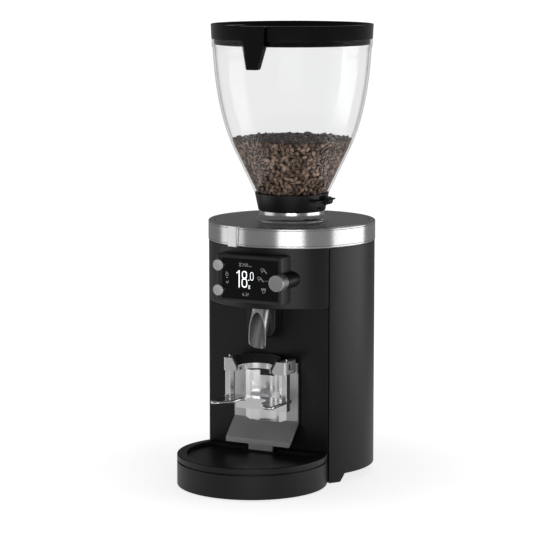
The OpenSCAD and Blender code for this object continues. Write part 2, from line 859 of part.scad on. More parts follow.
// Ring of lumps, where groups of beans lie proud of the fill
module bean_ring(r, z, count) {
    for (i = [0 : count - 1]) rotate([0, 0, (i + z / bean_pitch) * 360 / count])
        translate([r, 0, z]) sphere(r = bean_lump_r, $fn = 24);
}

module coffee_beans() {
    inset = hopper_t + 0.6;
    wall = shell_wall(inset);
    lean = (wall[1].x - wall[0].x) / (wall[1].y - wall[0].y);
    slant = sqrt(1 + lean * lean);
    side_r = wall_point((bean_z - cone_top_z) / (2 * pull_up), [cone_top_r - inset, 0],
        [hopper_r - pull_in - inset, 0], [hopper_r - inset, 0]).x - 1;
    sink = bean_lump_r - bean_lump;
    step = bean_lump * slant;
    stem_r = throat_r - sheet_gap;
    color("#5a4034") union() {
        rotate_extrude() polygon([[0, gate_z + gate_t + sheet_gap],
            [stem_r, gate_z + gate_t + sheet_gap], [stem_r, shell_z + 0.2], [wall[0].x - step, shell_z + 0.2],
            [wall[1].x - step, wall[1].y], [side_r - step, bean_z], [0, bean_z]]);
        for (z = [shell_z + bean_lump_r + 2 : bean_pitch * 0.9 : bean_z - bean_lump_r]) {
            r = wall[0].x + (z - shell_z) * lean - bean_lump_r * slant;
            bean_ring(r, z, floor(2 * PI * r / bean_pitch));
        }
        for (r = [bean_pitch : bean_pitch : side_r - bean_lump_r])
            bean_ring(r, bean_z + bean_heap * (1 - r / side_r) - sink, floor(2 * PI * r / bean_pitch));
        translate([0, 0, bean_z + bean_heap - sink]) sphere(r = bean_lump_r, $fn = 24);
    }
}

module hopper_collar() {
    color("#18191a") difference() {
        union() {
            translate([0, 0, collar_z]) cylinder(h = collar_h, r1 = collar_r0, r2 = collar_r1);
            translate([0, 0, collar_z - spigot_h]) cylinder(h = spigot_h + tiny, r = spigot_r);
        }
        translate([0, 0, collar_z - spigot_h - tiny]) cylinder(h = long, r = throat_r);
        box([-gate_half - part_gap, -gate_half - part_gap, gate_z - part_gap],
            [long, gate_half + part_gap, gate_z + gate_t + part_gap]);
        // latch slot on the right
        rotate([0, 0, -10]) box([collar_r0 - 1, -4, collar_z + 4], [long, 4, collar_z + 6]);
    }
}

module shutoff_gate() {
    color("#2a2b2d") box([-gate_half, -gate_half, gate_z], [gate_knob_x - 2, gate_half, gate_z + gate_t]);
}

module gate_knob() {
    color("#18191a") difference() {
        translate([gate_knob_x, 7, gate_z + gate_t / 2]) rotate([90, 0, 0]) cylinder(h = 14, r = gate_knob_r);
        box([-long, -gate_half - 1, gate_z - 0.02],
            [gate_knob_x - 2 + 0.02, gate_half + 1, gate_z + gate_t + 0.02]);
        translate([0, 0, collar_z]) cylinder(h = collar_h, r1 = collar_r0 + 0.6, r2 = collar_r1 + 0.6);
    }
}

module hopper_lid() {
    in_r = lid_r - lid_skin;
    color("#0e0e0f") {
        translate([0, 0, lid_z]) rotate_extrude() polygon([
            [0, lid_h - lid_recess - lid_skin], [plug_r - lid_skin, lid_h - lid_recess - lid_skin],
            [plug_r - lid_skin, -plug_h], [plug_r, -plug_h], [plug_r, 0], [lid_r - 1, 0], [lid_r, lid_h - 1],
            [lid_r - 1, lid_h], [in_r, lid_h], [in_r - 2, lid_h - lid_recess], [0, lid_h - lid_recess]]);
        // hanging tab with slanted flanks and a bowed face
        difference() {
            intersection() {
                rotate([90, 0, 0]) linear_extrude(height = long) polygon([
                    [-lid_tab_w0, lid_top], [-lid_tab_w0 + 1.5, rim_z], [-lid_tab_w1, lid_tab_z + 2],
                    [-lid_tab_w1 + 2, lid_tab_z], [lid_tab_w1 - 2, lid_tab_z], [lid_tab_w1, lid_tab_z + 2],
                    [lid_tab_w0 - 1.5, rim_z], [lid_tab_w0, lid_top]]);
                translate([0, -lid_tab_y + 60, lid_tab_z - 1]) cylinder(h = 100, r = 60);
                translate([0, 0, lid_tab_z - 1]) cylinder(h = 100, r = lid_tab_y);
            }
            translate([0, 0, lid_tab_z - 2]) cylinder(h = lid_z - lid_tab_z + 2, r = rim_out + 1);
            translate([0, 0, lid_z - tiny]) cylinder(h = 100, r = lid_r - 2);
        }
    }
}

// ---- Display and controls ----

module display_housing() {
    color("#2c2d30") difference() {
        box([display_x0, -display_y, display_z0], [display_x1, -front_y, display_z0 + display_h]);
        // rests on the round front panel
        translate([0, 0, display_z0 - 1]) cylinder(h = display_h + 2, r = body_r + 0.05);
        // hollow behind the face
        box([display_x0 + shell_t, -display_y + shell_t, display_z0 + shell_t],
            [display_x1 - shell_t, 0, display_z0 + display_h - shell_t]);
        // seat and opening of the glass
        box([glass_x0 - 0.1, -long, glass_z0 - 0.1], [glass_x1 + 0.1, -display_y + glass_t, glass_z1 + 0.1]);
        box([glass_x0 + 12, -long, glass_z0 + 3], [glass_x1 - 3, -display_y + 10, glass_z1 - 3]);
        for (s = [-1, 1]) rod_y(button_x, display_z + s * button_dz, button_r + button_gap, 60, 200);
        rod_y(knob_x, display_z, knob_r + 0.1, 60, 200);
    }
}

module display_glass() {
    color("#101214") difference() {
        box([glass_x0, -display_y, glass_z0], [glass_x1, -display_y + glass_t, glass_z1]);
        for (s = [-1, 1]) rod_y(button_x, display_z + s * button_dz, button_r + button_gap, 60, 200);
        rod_y(knob_x, display_z, knob_r + 0.1, 60, 200);
    }
}

module display_board() {
    color("#1f5a36") difference() {
        box([display_x0 + shell_t + 0.2, -display_back, display_z0 + shell_t + 0.2],
            [knob_x - knob_r - 1, -display_back + 1.6, display_z0 + display_h - shell_t - 0.2]);
    }
    // lit screen block behind the glass and the two button switches
    color("#22262a") box([glass_x0 + 12.3, -display_y + shell_t + 0.2, glass_z0 + 3.3],
        [knob_x - knob_r - 1, -display_back, glass_z1 - 3.3]);
}

module button(s) {
    z = display_z + s * button_dz;
    color("#c9cbcd") {
        difference() {
            rod_y(button_x, z, button_r, display_y + button_out - button_h, display_y + button_out);
            translate([button_x, -display_y - button_out, z]) rotate([90, 0, 0])
                rotate_extrude() translate([button_r + 0.4, 0]) circle(r = 1);
        }
        rod_y(button_x, z, stem_r, display_back + 0.3 + button_travel,
            display_y + button_out - button_h + tiny);
    }
}

module button_upper() {
    button(1);
}

module button_lower() {
    button(-1);
}

module knob_sleeve() {
    front = display_y - 0.1;
    color("#141516") difference() {
        rod_y(knob_x, display_z, knob_r, sleeve_back, front);
        rod_y(knob_x, display_z, knob_r - sleeve_wall, sleeve_back - 10, front - sleeve_cap);
        rod_y(knob_x, display_z, spindle_r + run_fit, sleeve_back - 10, display_y + 10);
        translate([0, 0, display_z - 20]) cylinder(h = 40, r = body_r + 0.05);
    }
}

module selector_spindle() {
    front = display_y + sleeve_gap + knob_bore_l;
    color("#b9bbbd") rod_y(knob_x, display_z, spindle_r, spindle_back, front - 0.5);
}

module selector_knob() {
    back = display_y + sleeve_gap;
    grip_y = back + 3.2;
    color("#cfd1d3") difference() {
        rod_y(knob_x, display_z, knob_r, back, back + knob_l);
        rod_y(knob_x, display_z, spindle_r + run_fit, back - 1, back + knob_bore_l);
        // turned grooves round the knob
        for (y = [grip_y, grip_y + 4]) difference() {
            rod_y(knob_x, display_z, knob_r + 1, y, y + 1);
            rod_y(knob_x, display_z, knob_r - 0.5, y - 1, y + 2);
        }
    }
}

// ---- Spout ----

// Slanted cylinder along the spout, up into the chamber's outlet
module spout_bore(r) {
    below = 40;
    above = (carrier_z - 2.7 - spout_axis_z) / cos(spout_lean);
    translate([0, -spout_axis_y, spout_axis_z]) rotate([-spout_lean, 0, 0])
        translate([0, 0, -below]) cylinder(h = above + below, r = r);
}

module outlet_duct() {
    color("#131415") difference() {
        union() {
            // tongue with a round lower end behind the spout
            rod_y(0, duct_z + duct_half, duct_half, front_y + 0.2, duct_y);
            box([-duct_half, -duct_y, duct_z + duct_half], [duct_half, -front_y - 0.2, head_z + 8]);
            box([-duct_half, -duct_y - 8, head_z + 3.3], [duct_half, -duct_back, duct_top]);
        }
        spout_bore(spout_r + 0.02);
        box([-12, -duct_y - 5, carrier_z - 4], [12, 0, carrier_z + 16]);
    }
}

module spout() {
    color("#b8babc") difference() {
        intersection() {
            difference() {
                spout_bore(spout_r);
                spout_bore(spout_r - spout_t);
            }
            box([-long, -long, spout_tip_z - 1], [long, long, carrier_z - 3]);
        }
        // open front, rounded off into the cut end
        box([-long, -long, 0], [long, -mouth_y, head_z - 0.6]);
        difference() {
            box([-long, -long, 0], [long, -mouth_y + mouth_round, spout_tip_z + mouth_round - 1]);
            translate([-long, -mouth_y + mouth_round, spout_tip_z + mouth_round]) rotate([0, 90, 0])
                cylinder(h = 2 * long, r = mouth_round);
        }
    }
}

// ---- Portafilter rest ----

// Trough of the backrest with its flanks and the sheet behind them, before the round is cut out
module backrest_block(z0, z1, fit) {
    front = lip_front();
    rear = plate_y - rest_t - fit;
    difference() {
        translate([0, -filter_y, z0]) cylinder(h = z1 - z0, r = rest_r + rest_t + fit);
        box([-long, -long, 0], [long, -front, long]);
    }
    both_sides() mirror([0, 1, 0]) translate([0, 0, z0]) linear_extrude(height = z1 - z0)
        polygon([[rest_half - 2, front], [rest_half + 0.8, front], [rest_flank + fit, plate_y],
            [rest_flank - 4 + fit, rear], [rest_half - 2, rear]]);
}

// Depth of the backrest's lips
function lip_front() = filter_y - sqrt(rest_r * rest_r - rest_half * rest_half);

module holder_plate() {
    drop = lip_y - plate_y;
    color("#b9bcbe") difference() {
        union() {
            box([-plate_w, -plate_y, bend_z - 1], [plate_w, -plate_y + plate_t, plate_top]);
            // ears that carry the hooks
            both_sides() box([post_x0 - 3, -plate_y, plate_top - tiny],
                [hook_w, -plate_y + plate_t, hook_z + 12]);
            // deflector, bent forward at 45 degrees
            rotate([90, 0, 90]) translate([0, 0, -plate_w]) linear_extrude(height = 2 * plate_w)
                polygon([[-plate_y, bend_z], [-lip_y, bend_z - drop], [-lip_y, bend_z - drop - lip_h],
                    [-plate_y + plate_t, bend_z - lip_h + plate_t], [-plate_y + plate_t, bend_z + 1]]);
            box([-tongue_half, -tongue_y1, pad_z + 0.5], [tongue_half, -tongue_y0, bend_z - 20]);
            // bar across the back and the foot that is bolted to the load cell
            box([4 - plate_w, -plate_y + plate_t - tiny, mount_z0],
                [plate_w - 4, -front_y - part_gap, mount_z1]);
            box([-mount_half, -front_y - 1, mount_z0], [mount_half, -front_y + panel_t + 3, mount_z1]);
        }
        backrest_block(rest_z0 - 0.1, long, 0.1);
        translate([0, -filter_y, rest_z0 - 0.1]) cylinder(h = long, r = rest_r + 0.1);
    }
}

module backrest() {
    color("#dcdee0") difference() {
        backrest_block(rest_z0, plate_top, 0);
        translate([0, -filter_y, 0]) cylinder(h = long, r = rest_r);
        box([-arm_half - 0.1, -long, plate_top - 7.3], [arm_half + 0.1, 0, long]);
    }
}

module load_cell() {
    y1 = front_y - panel_t - 3.1;
    y0 = y1 - 9;
    color("#a9adb1") {
        box([-38, -y1, mount_z0 + 1], [38, -y0, mount_z1 - 1]);
        // bracket down to the base deck
        box([26, -y1, deck_top], [38, -y0, mount_z0 + 1 + tiny]);
    }
}

module hook() {
    top = hook_z + hook_h;
    slant = funnel_slope;
    inner = funnel_r0 + 0.4;
    difference() {
        intersection() {
            // outline seen from the front
            translate([0, -hook_y0, 0]) rotate([90, 0, 0]) linear_extrude(height = hook_y1 - hook_y0)
                polygon([[inner + 2.4, hook_z], [inner, funnel_z0], [inner + slant * (top - funnel_z0), top],
                    [hook_w, top], [hook_w, hook_z]]);
            // outline seen from above
            union() {
                round_post([0, -hook_y1, 0], [hook_w, -post_y0 + 2, long], 3);
                round_post([post_x0 - 3, -post_y0 - 4, 0], [hook_w, -hook_y0, long], 5);
            }
        }
        box([post_x0 - part_gap, -post_y1 - part_gap, 0], [post_x1 + part_gap, -post_y0 + part_gap, long]);
        // clamp slit
        box([post_x1 - 2, -plate_y - 13, hook_z + 6], [long, -plate_y - 12, hook_z + 14]);
        translate([post_x1 - 1, -plate_y - 12.5, clamp_z]) rotate([0, 90, 0]) cylinder(h = 4, r = 1.6);
    }
    // clamp screw
    translate([hook_w - 1.4, -plate_y - 12.5, clamp_z]) rotate([0, 90, 0]) cylinder(h = 2.2, r = 1.5);
}

module holder_hooks() {
    color("#c2c4c6") both_sides() hook();
}

module dosing_funnel() {
    y0 = filter_y - rest_r + 1;
    color("#151617") {
        difference() {
            translate([0, -filter_y, funnel_z0]) rotate_extrude() polygon([[seat_r + 0.1, -1.5],
                [funnel_r0 - 0.5, -1.5], [funnel_r0, 0], [funnel_r, funnel_h],
                [funnel_r + 0.8, funnel_h + funnel_lip],
                [funnel_r - 1.2, funnel_h + funnel_lip], [funnel_r - 2, funnel_h], [seat_r + 0.1, 4]]);
            box([-long, -long, 0], [long, -funnel_front, long]);
        }
        // arm that hangs on the notch of the backrest
        difference() {
            box([-arm_half, -filter_y + seat_r - 4, seat_z0 + 2.6], [arm_half, -front_y - 0.4, seat_z1]);
            translate([0, -filter_y, 0]) cylinder(h = long, r = seat_r + 0.6);
        }
        box([-arm_half, -y0, plate_top - 7.2], [arm_half, -front_y - 0.4, seat_z1]);
    }
}

module funnel_ring() {
    color("#d8dadc") difference() {
        translate([0, -filter_y, 0]) tube(seat_r - seat_t, seat_r, seat_z0, seat_z1);
        box([-long, -long, 0], [long, -funnel_front, long]);
    }
}

// Prong outline in plan on the right side, forward is +Y here
module prong_outline() {
    chamfer = 16;
    polygon([[fork_slot, post_y0 - 2], [fork_slot, fork_tip - chamfer - 4], [fork_slot + chamfer, fork_tip],
        [fork_half - 1.5, fork_tip], [fork_half, fork_tip - 3], [fork_half, post_y0 - 2]]);
}

module fork() {
    corner = 8;
    z0 = fork_z - fork_t;
    color("#a8abad") {
        mirror([0, 1, 0]) translate([0, 0, z0]) linear_extrude(height = fork_t) {
            prong_outline();
            mirror([1, 0]) prong_outline();
            difference() {
                translate([-fork_half + 2, post_y0 - 4]) square([2 * fork_half - 4, 15 + corner]);
                translate([0, post_y1 + 1 + corner]) {
                    translate([-fork_slot, 0]) square([2 * fork_slot, 40]);
                    translate([-fork_slot + corner, -corner]) square([2 * (fork_slot - corner), 40]);
                    for (s = [-1, 1]) translate([s * (fork_slot - corner), 0]) circle(r = corner);
                }
            }
        }
        // apron under the throat, longer on the right
        box([-31, -post_y1 - 1, z0 - apron_h], [fork_half, -post_y1 - 1 + apron_t, z0 + tiny]);
    }
    color("#d0d2d4") both_sides()
        round_post([post_x0, -post_y1, fork_z - tiny], [post_x1, -post_y0, hook_z + hook_h - 0.6], 1);
    color("#d0d2d4") {
        round_post([post_x0, -post_y1 + apron_t - 1, z0 - apron_h], [post_x1, -post_y0, z0 + tiny], 1);
        both_sides() translate([post_x0 + 4, -post_y0 - 5, hook_z + hook_h - 1]) cylinder(h = 4, r = 1.4);
    }
}

// ---- Tray ----

module tray() {
    round_r = 1.8;
    color("#1b1b1c") difference() {
        union() {
            translate([0, -foot_y, tray_z0]) rotate_extrude() difference() {
                union() {
                    square([foot_r, tray_top - tray_z0 - round_r]);
                    square([foot_r - round_r, tray_top - tray_z0]);
                    translate([foot_r - round_r, tray_top - tray_z0 - round_r]) circle(r = round_r);
                }
                translate([0, tray_floor]) square([foot_r - tray_rim, long]);
            }
            intersection() {
                translate([0, -foot_y, tray_z0]) cylinder(h = ledge_z - tray_z0, r = foot_r - 1);
                union() {
                    box([-long, -front_y - ledge_d, 0], [-pad_half, 0, long]);
                    box([pad_half, -front_y - ledge_d, 0], [long, 0, long]);
                    box([-pad_half - 1, -front_y - pad_d, 0], [pad_half + 1, 0, pad_z]);
                }
            }
        }
        box([-long, -front_y - part_gap, 0], [long, long, long]);
        // the notch stays open under the tongue as the tray slides out
        box([-pad_half, -front_y - ledge_d - 3, pad_z], [pad_half, long, long]);
    }
}

base();
rubber_feet();
head_deck();
frame_columns();
side_panel_right();
side_panel_left();
rear_panel();
front_panel_upper();
front_panel_lower();
panel_screws();
power_inlet();
power_switch();
power_rocker();
motor_stator();
motor_upper_bell();
motor_lower_bell();
motor_bolts();
motor_bearings();
motor_shaft();
motor_rotor();
cooling_fan();
run_capacitor();
control_board();
grind_chamber();
lower_burr_carrier();
lower_burr();
lower_burr_screws();
burr_cap();
upper_burr();
upper_burr_screws();
upper_burr_carrier();
ring_spider();
adjustment_ring();
disc_posts();
top_disc();
hopper_neck();
hopper_collar();
shutoff_gate();
gate_knob();
hopper_shell();
coffee_beans();
hopper_lid();
display_housing();
display_glass();
display_board();
button_upper();
button_lower();
knob_sleeve();
selector_spindle();
selector_knob();
outlet_duct();
spout();
holder_plate();
backrest();
load_cell();
holder_hooks();
dosing_funnel();
funnel_ring();
fork();
tray();
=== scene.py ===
"""The looks of an on-demand burr coffee grinder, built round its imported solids.

Every sub-assembly is a class: its fields are its sizes in millimetres, and its methods shape its pieces and
dress them.
"""

import logging
import math
import random
from dataclasses import dataclass, field
from enum import Enum
from typing import Any, Iterator, Sequence

import bmesh
import bpy
from mathutils import Euler, Matrix, Vector


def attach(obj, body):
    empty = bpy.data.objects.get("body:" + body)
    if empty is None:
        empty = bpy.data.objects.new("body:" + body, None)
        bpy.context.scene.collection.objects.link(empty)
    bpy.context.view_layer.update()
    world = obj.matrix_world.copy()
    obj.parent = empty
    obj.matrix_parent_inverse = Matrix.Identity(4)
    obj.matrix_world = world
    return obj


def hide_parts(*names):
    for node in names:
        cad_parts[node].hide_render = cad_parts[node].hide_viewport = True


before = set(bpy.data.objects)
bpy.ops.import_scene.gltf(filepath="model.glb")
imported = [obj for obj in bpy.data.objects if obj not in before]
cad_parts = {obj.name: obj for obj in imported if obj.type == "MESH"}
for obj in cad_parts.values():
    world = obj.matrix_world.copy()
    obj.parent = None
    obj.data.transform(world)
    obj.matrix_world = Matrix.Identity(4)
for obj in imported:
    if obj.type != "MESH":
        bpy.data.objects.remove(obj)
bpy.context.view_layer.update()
LOG = logging.getLogger("grinder")

Flat = tuple[float, float]
Point = tuple[float, float, float]
Colour = tuple[float, float, float]
MM = 0.001
FAR = 200.0  # past the machine's sides, for tools that cut right through
STRAIGHT = math.pi - 0.01
SMOOTH_BELOW = math.radians(38)
TINY, SMALL, MIDDLE, ROUND_STEPS, LARGE = 32, 64, 128, 192, 256  # facets of rounds, by their size


class Axis(Enum):
    """Which way a form is extruded, as the turn from upright."""

    UP = Euler((0, 0, 0))
    FORWARD = Euler((math.pi / 2, 0, 0))
    RIGHT = Euler((math.pi / 2, 0, math.pi / 2))


class Grain(Enum):
    """How a finish's texture is stretched along X, Y and Z."""

    EVEN = (1.0, 1.0, 1.0)
    TURNED = (0.03, 0.03, 1.0)
    DRAWN_UP = (1.0, 1.0, 0.03)


def ease(corners: Sequence[Point], steps: int = 4) -> list[Flat]:
    """Rounds the corners of a closed outline.

    Args:
        corners: X, Y and corner radius of each corner in turn.
        steps: Segments in each rounded corner.

    Returns:
        The points of the rounded outline.
    """
    points: list[Flat] = []
    for i, (x, y, radius) in enumerate(corners):
        corner = Vector((x, y))
        before = (Vector(corners[i - 1][:2]) - corner).normalized()
        after = (Vector(corners[(i + 1) % len(corners)][:2]) - corner).normalized()
        if radius <= 0 or before.angle(after) > STRAIGHT:
            points.append((x, y))
            continue
        half = before.angle(after) / 2
        centre = corner + (before + after).normalized() * radius / math.sin(half)
        first = corner + before * radius / math.tan(half) - centre
        last = corner + after * radius / math.tan(half) - centre
        sweep = first.angle(last)
        for k in range(steps + 1):
            t = k / steps
            spoke = (first * math.sin((1 - t) * sweep) + last * math.sin(t * sweep)) / math.sin(sweep)
            points.append(tuple(centre + spoke))
    return points


def strip(low: Flat, high: Flat, radius: float, steps: int = 4) -> list[Flat]:
    """Returns the outline of a rectangle with rounded corners."""
    return ease([(low[0], low[1], radius), (high[0], low[1], radius),
                 (high[0], high[1], radius), (low[0], high[1], radius)], steps)


def add_object(name: str, data: bpy.types.ID) -> bpy.types.Object:
    """Adds an object to the scene.

    Args:
        name: Its name.
        data: Its mesh, curve, light or camera.

    Returns:
        The object.
    """
    made = bpy.data.objects.new(name, data)
    bpy.context.scene.collection.objects.link(made)
    return made


class Form:
    """A solid in millimetres that bmesh operators shape."""

    def __init__(self) -> None:
        """Starts with an empty mesh."""
        self.bm = bmesh.new()

    def block(self, low: Point, high: Point) -> "Form":
        """Adds a box.

        Args:
            low: Its lowest corner.
            high: Its highest corner.

        Returns:
            The form itself.
        """
        made = bmesh.ops.create_cube(self.bm, size=1.0)["verts"]
        bmesh.ops.scale(self.bm, vec=Vector(high) - Vector(low), verts=made)
        bmesh.ops.translate(self.bm, vec=(Vector(high) + Vector(low)) / 2, verts=made)
        return self

    def drum(self, base: Point, radius: float, height: float, top: float | None = None,
             axis: Axis = Axis.UP, sides: int = SMALL) -> "Form":
        """Adds a cylinder or a cone.

        Args:
            base: Centre of its first end.
            radius: Radius of its first end.
            height: Length along the axis.
            top: Radius of its other end, if that differs.
            axis: The way it points.
            sides: Facets round it.

        Returns:
            The form itself.
        """
        made = bmesh.ops.create_cone(self.bm, cap_ends=True, segments=sides, radius1=radius,
                                     radius2=radius if top is None else top, depth=height)["verts"]
        turn = axis.value.to_matrix().to_4x4()
        place = Matrix.Translation(base) @ turn @ Matrix.Translation((0, 0, height / 2))
        bmesh.ops.transform(self.bm, matrix=place, verts=made)
        return self

    def turned(self, outline: Sequence[Flat], centre: Point = (0, 0, 0), start: float = 0.0,
               sweep: float = 360.0, steps: int = ROUND_STEPS, axis: Axis = Axis.UP) -> "Form":
        """Adds a turned form.

        Args:
            outline: Closed outline of radius and height.
            centre: Where the axis of turning starts.
            start: First angle in degrees, from +X.
            sweep: Angle turned through.
            steps: Segments round the sweep.
            axis: The way the axis of turning points.

        Returns:
            The form itself.
        """
        whole = sweep >= 360
        made = Form()
        bm = made.bm
        loop = [bm.verts.new((r, 0, z)) for r, z in outline]
        rim = [bm.edges.new((loop[i - 1], loop[i])) for i in range(len(loop))]
        bmesh.ops.rotate(bm, verts=loop, matrix=Matrix.Rotation(math.radians(start), 3, "Z"))
        if not whole:
            bm.faces.new(loop)
        last = bmesh.ops.spin(bm, geom=loop + rim, axis=(0, 0, 1), angle=math.radians(sweep), steps=steps,
                              use_merge=whole)["geom_last"]
        if not whole:
            bmesh.ops.contextual_create(bm, geom=[e for e in last if isinstance(e, bmesh.types.BMEdge)])
        bmesh.ops.remove_doubles(bm, verts=bm.verts[:], dist=0.001)
        bmesh.ops.recalc_face_normals(bm, faces=bm.faces[:])
        made.moved(Matrix.Translation(centre) @ axis.value.to_matrix().to_4x4())
        return self.joined(made)

    def prism(self, outline: Sequence[Flat], low: float, high: float, axis: Axis = Axis.UP) -> "Form":
        """Adds an extruded outline.

        Args:
            outline: Its X-Y points upwards, X-Z points forwards, or Y-Z points to the right.
            low: Where it starts; depths forwards count to the front.
            high: Where it ends.
            axis: The way it is extruded.

        Returns:
            The form itself.
        """
        face = self.bm.faces.new([self.bm.verts.new((x, y, low)) for x, y in outline])
        raised = bmesh.ops.extrude_face_region(self.bm, geom=[face])["geom"]
        top = [v for v in raised if isinstance(v, bmesh.types.BMVert)]
        bmesh.ops.translate(self.bm, vec=(0, 0, high - low), verts=top)
        made = top + list(face.verts)
        faces = {f for v in made for f in v.link_faces}
        bmesh.ops.recalc_face_normals(self.bm, faces=list(faces))
        bmesh.ops.transform(self.bm, matrix=axis.value.to_matrix().to_4x4(), verts=made)
        return self

    def moved(self, matrix: Matrix) -> "Form":
        """Moves or turns the whole form."""
        bmesh.ops.transform(self.bm, matrix=matrix, verts=self.bm.verts[:])
        return self

    def joined(self, other: "Form") -> "Form":
        """Adds another form's faces without merging the solids.

        Args:
            other: The form to add.

        Returns:
            The form itself.
        """
        mesh = other.mesh("joined")
        self.bm.from_mesh(mesh)
        bpy.data.meshes.remove(mesh)
        return self

    def mesh(self, name: str) -> bpy.types.Mesh:
        """Makes a mesh of this shape.

        Args:
            name: The mesh's name.

        Returns:
            The mesh.
        """
        mesh = bpy.data.meshes.new(name)
        self.bm.to_mesh(mesh)
        return mesh

    def both_sides(self) -> "Form":
        """Adds the mirror image across the middle plane."""
        bmesh.ops.mirror(self.bm, geom=self.bm.verts[:] + self.bm.edges[:] + self.bm.faces[:],
                         axis="X", merge_dist=-1)
        bmesh.ops.recalc_face_normals(self.bm, faces=self.bm.faces[:])
        return self

    def mirrored(self) -> "Form":
        """Turns the form into its mirror image across the middle plane."""
        bmesh.ops.scale(self.bm, vec=(-1, 1, 1), verts=self.bm.verts[:])
        bmesh.ops.reverse_faces(self.bm, faces=self.bm.faces[:])
        return self

    def less(self, *tools: "Form") -> "Form":
        """Cuts other forms away."""
        return self._combined("DIFFERENCE", tools)

    def plus(self, *tools: "Form") -> "Form":
        """Unites other forms with this one."""
        return self._combined("UNION", tools)

    def within(self, *tools: "Form") -> "Form":
        """Keeps what lies inside other forms."""
        return self._combined("INTERSECT", tools)

    def _combined(self, operation: str, tools: Sequence["Form"]) -> "Form":
        """Runs exact boolean modifiers.

        Args:
            operation: What each modifier does.
            tools: The forms that they use.

        Returns:
            The form itself, as they leave it.
        """
        body = add_object("body", self.mesh("body"))
        for tool in tools:
            modifier = body.modifiers.new("combine", "BOOLEAN")
            modifier.operation, modifier.solver = operation, "EXACT"
            modifier.object = add_object("tool", tool.mesh("tool"))
        result = bpy.data.meshes.new_from_object(body.evaluated_get(bpy.context.evaluated_depsgraph_get()))
        used = [body] + [m.object for m in body.modifiers]
        self.bm.clear()
        self.bm.from_mesh(result)
        for thing in used:
            bpy.data.objects.remove(thing)
        bpy.data.meshes.remove(result)
        bmesh.ops.remove_doubles(self.bm, verts=self.bm.verts[:], dist=0.0005)
        bmesh.ops.dissolve_degenerate(self.bm, edges=self.bm.edges[:], dist=0.0005)
        return self

    def flattened(self, angle: float = 0.6) -> "Form":
        """Joins the faces that lie in one plane.

        Args:
            angle: The greatest turn between such faces, in degrees.

        Returns:
            The form itself.
        """
        bmesh.ops.dissolve_limit(self.bm, angle_limit=math.radians(angle), verts=self.bm.verts[:],
                                 edges=self.bm.edges[:], use_dissolve_boundaries=False)
        return self

    def rounded(self, width: float, steps: int = 2, angle: float = 40.0) -> "Form":
        """Rounds the sharp edges.

        Args:
            width: How far the rounding reaches from an edge.
            steps: Segments of the rounding.
            angle: The least turn of a sharp edge, in degrees.

        Returns:
            The form itself.
        """
        sharp = [e for e in self.bm.edges
                 if len(e.link_faces) == 2 and e.calc_face_angle(0) > math.radians(angle)]
        bmesh.ops.bevel(self.bm, geom=sharp, offset=width, offset_type="OFFSET", segments=steps, profile=0.5,
                        affect="EDGES", clamp_overlap=True, material=-1)
        return self

    def copied(self, node: str) -> "Form":
        """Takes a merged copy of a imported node's mesh.

        Args:
            node: The node's name.

        Returns:
            The form itself.
        """
        self.bm.from_mesh(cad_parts[node].data)
        bmesh.ops.scale(self.bm, vec=(1 / MM,) * 3, verts=self.bm.verts[:])
        bmesh.ops.remove_doubles(self.bm, verts=self.bm.verts[:], dist=0.002)
        return self


def slab(low: Flat, high: Flat) -> Form:
    """Returns a block right across the machine, between two Y-Z corners."""
    return Form().block((-FAR, *low), (FAR, *high))


def feed(tree: bpy.types.NodeTree, node: bpy.types.Node, inputs: dict[str | int, Any]) -> None:
    """Sets a node's sockets.

    Args:
        tree: The tree that the node is in.
        node: The node.
        inputs: By name or number, a value or another node's output.
    """
    for socket, source in inputs.items():
        if isinstance(source, bpy.types.NodeSocket):
            tree.links.new(source, node.inputs[socket])
        else:
            node.inputs[socket].default_value = source


def add_node(tree: bpy.types.NodeTree, kind: str, inputs: dict[str | int, Any] | None = None,
             **settings: Any) -> bpy.types.NodeOutputs:
    """Adds a shader node.

    Args:
        tree: The tree that it joins.
        kind: Its type, less the leading ShaderNode.
        inputs: What its sockets get, as for feed.
        settings: Its own properties.

    Returns:
        Its outputs.
    """
    node = tree.nodes.new(f"ShaderNode{kind}")
    for name, value in settings.items():
        setattr(node, name, value)
    feed(tree, node, inputs or {})
    return node.outputs


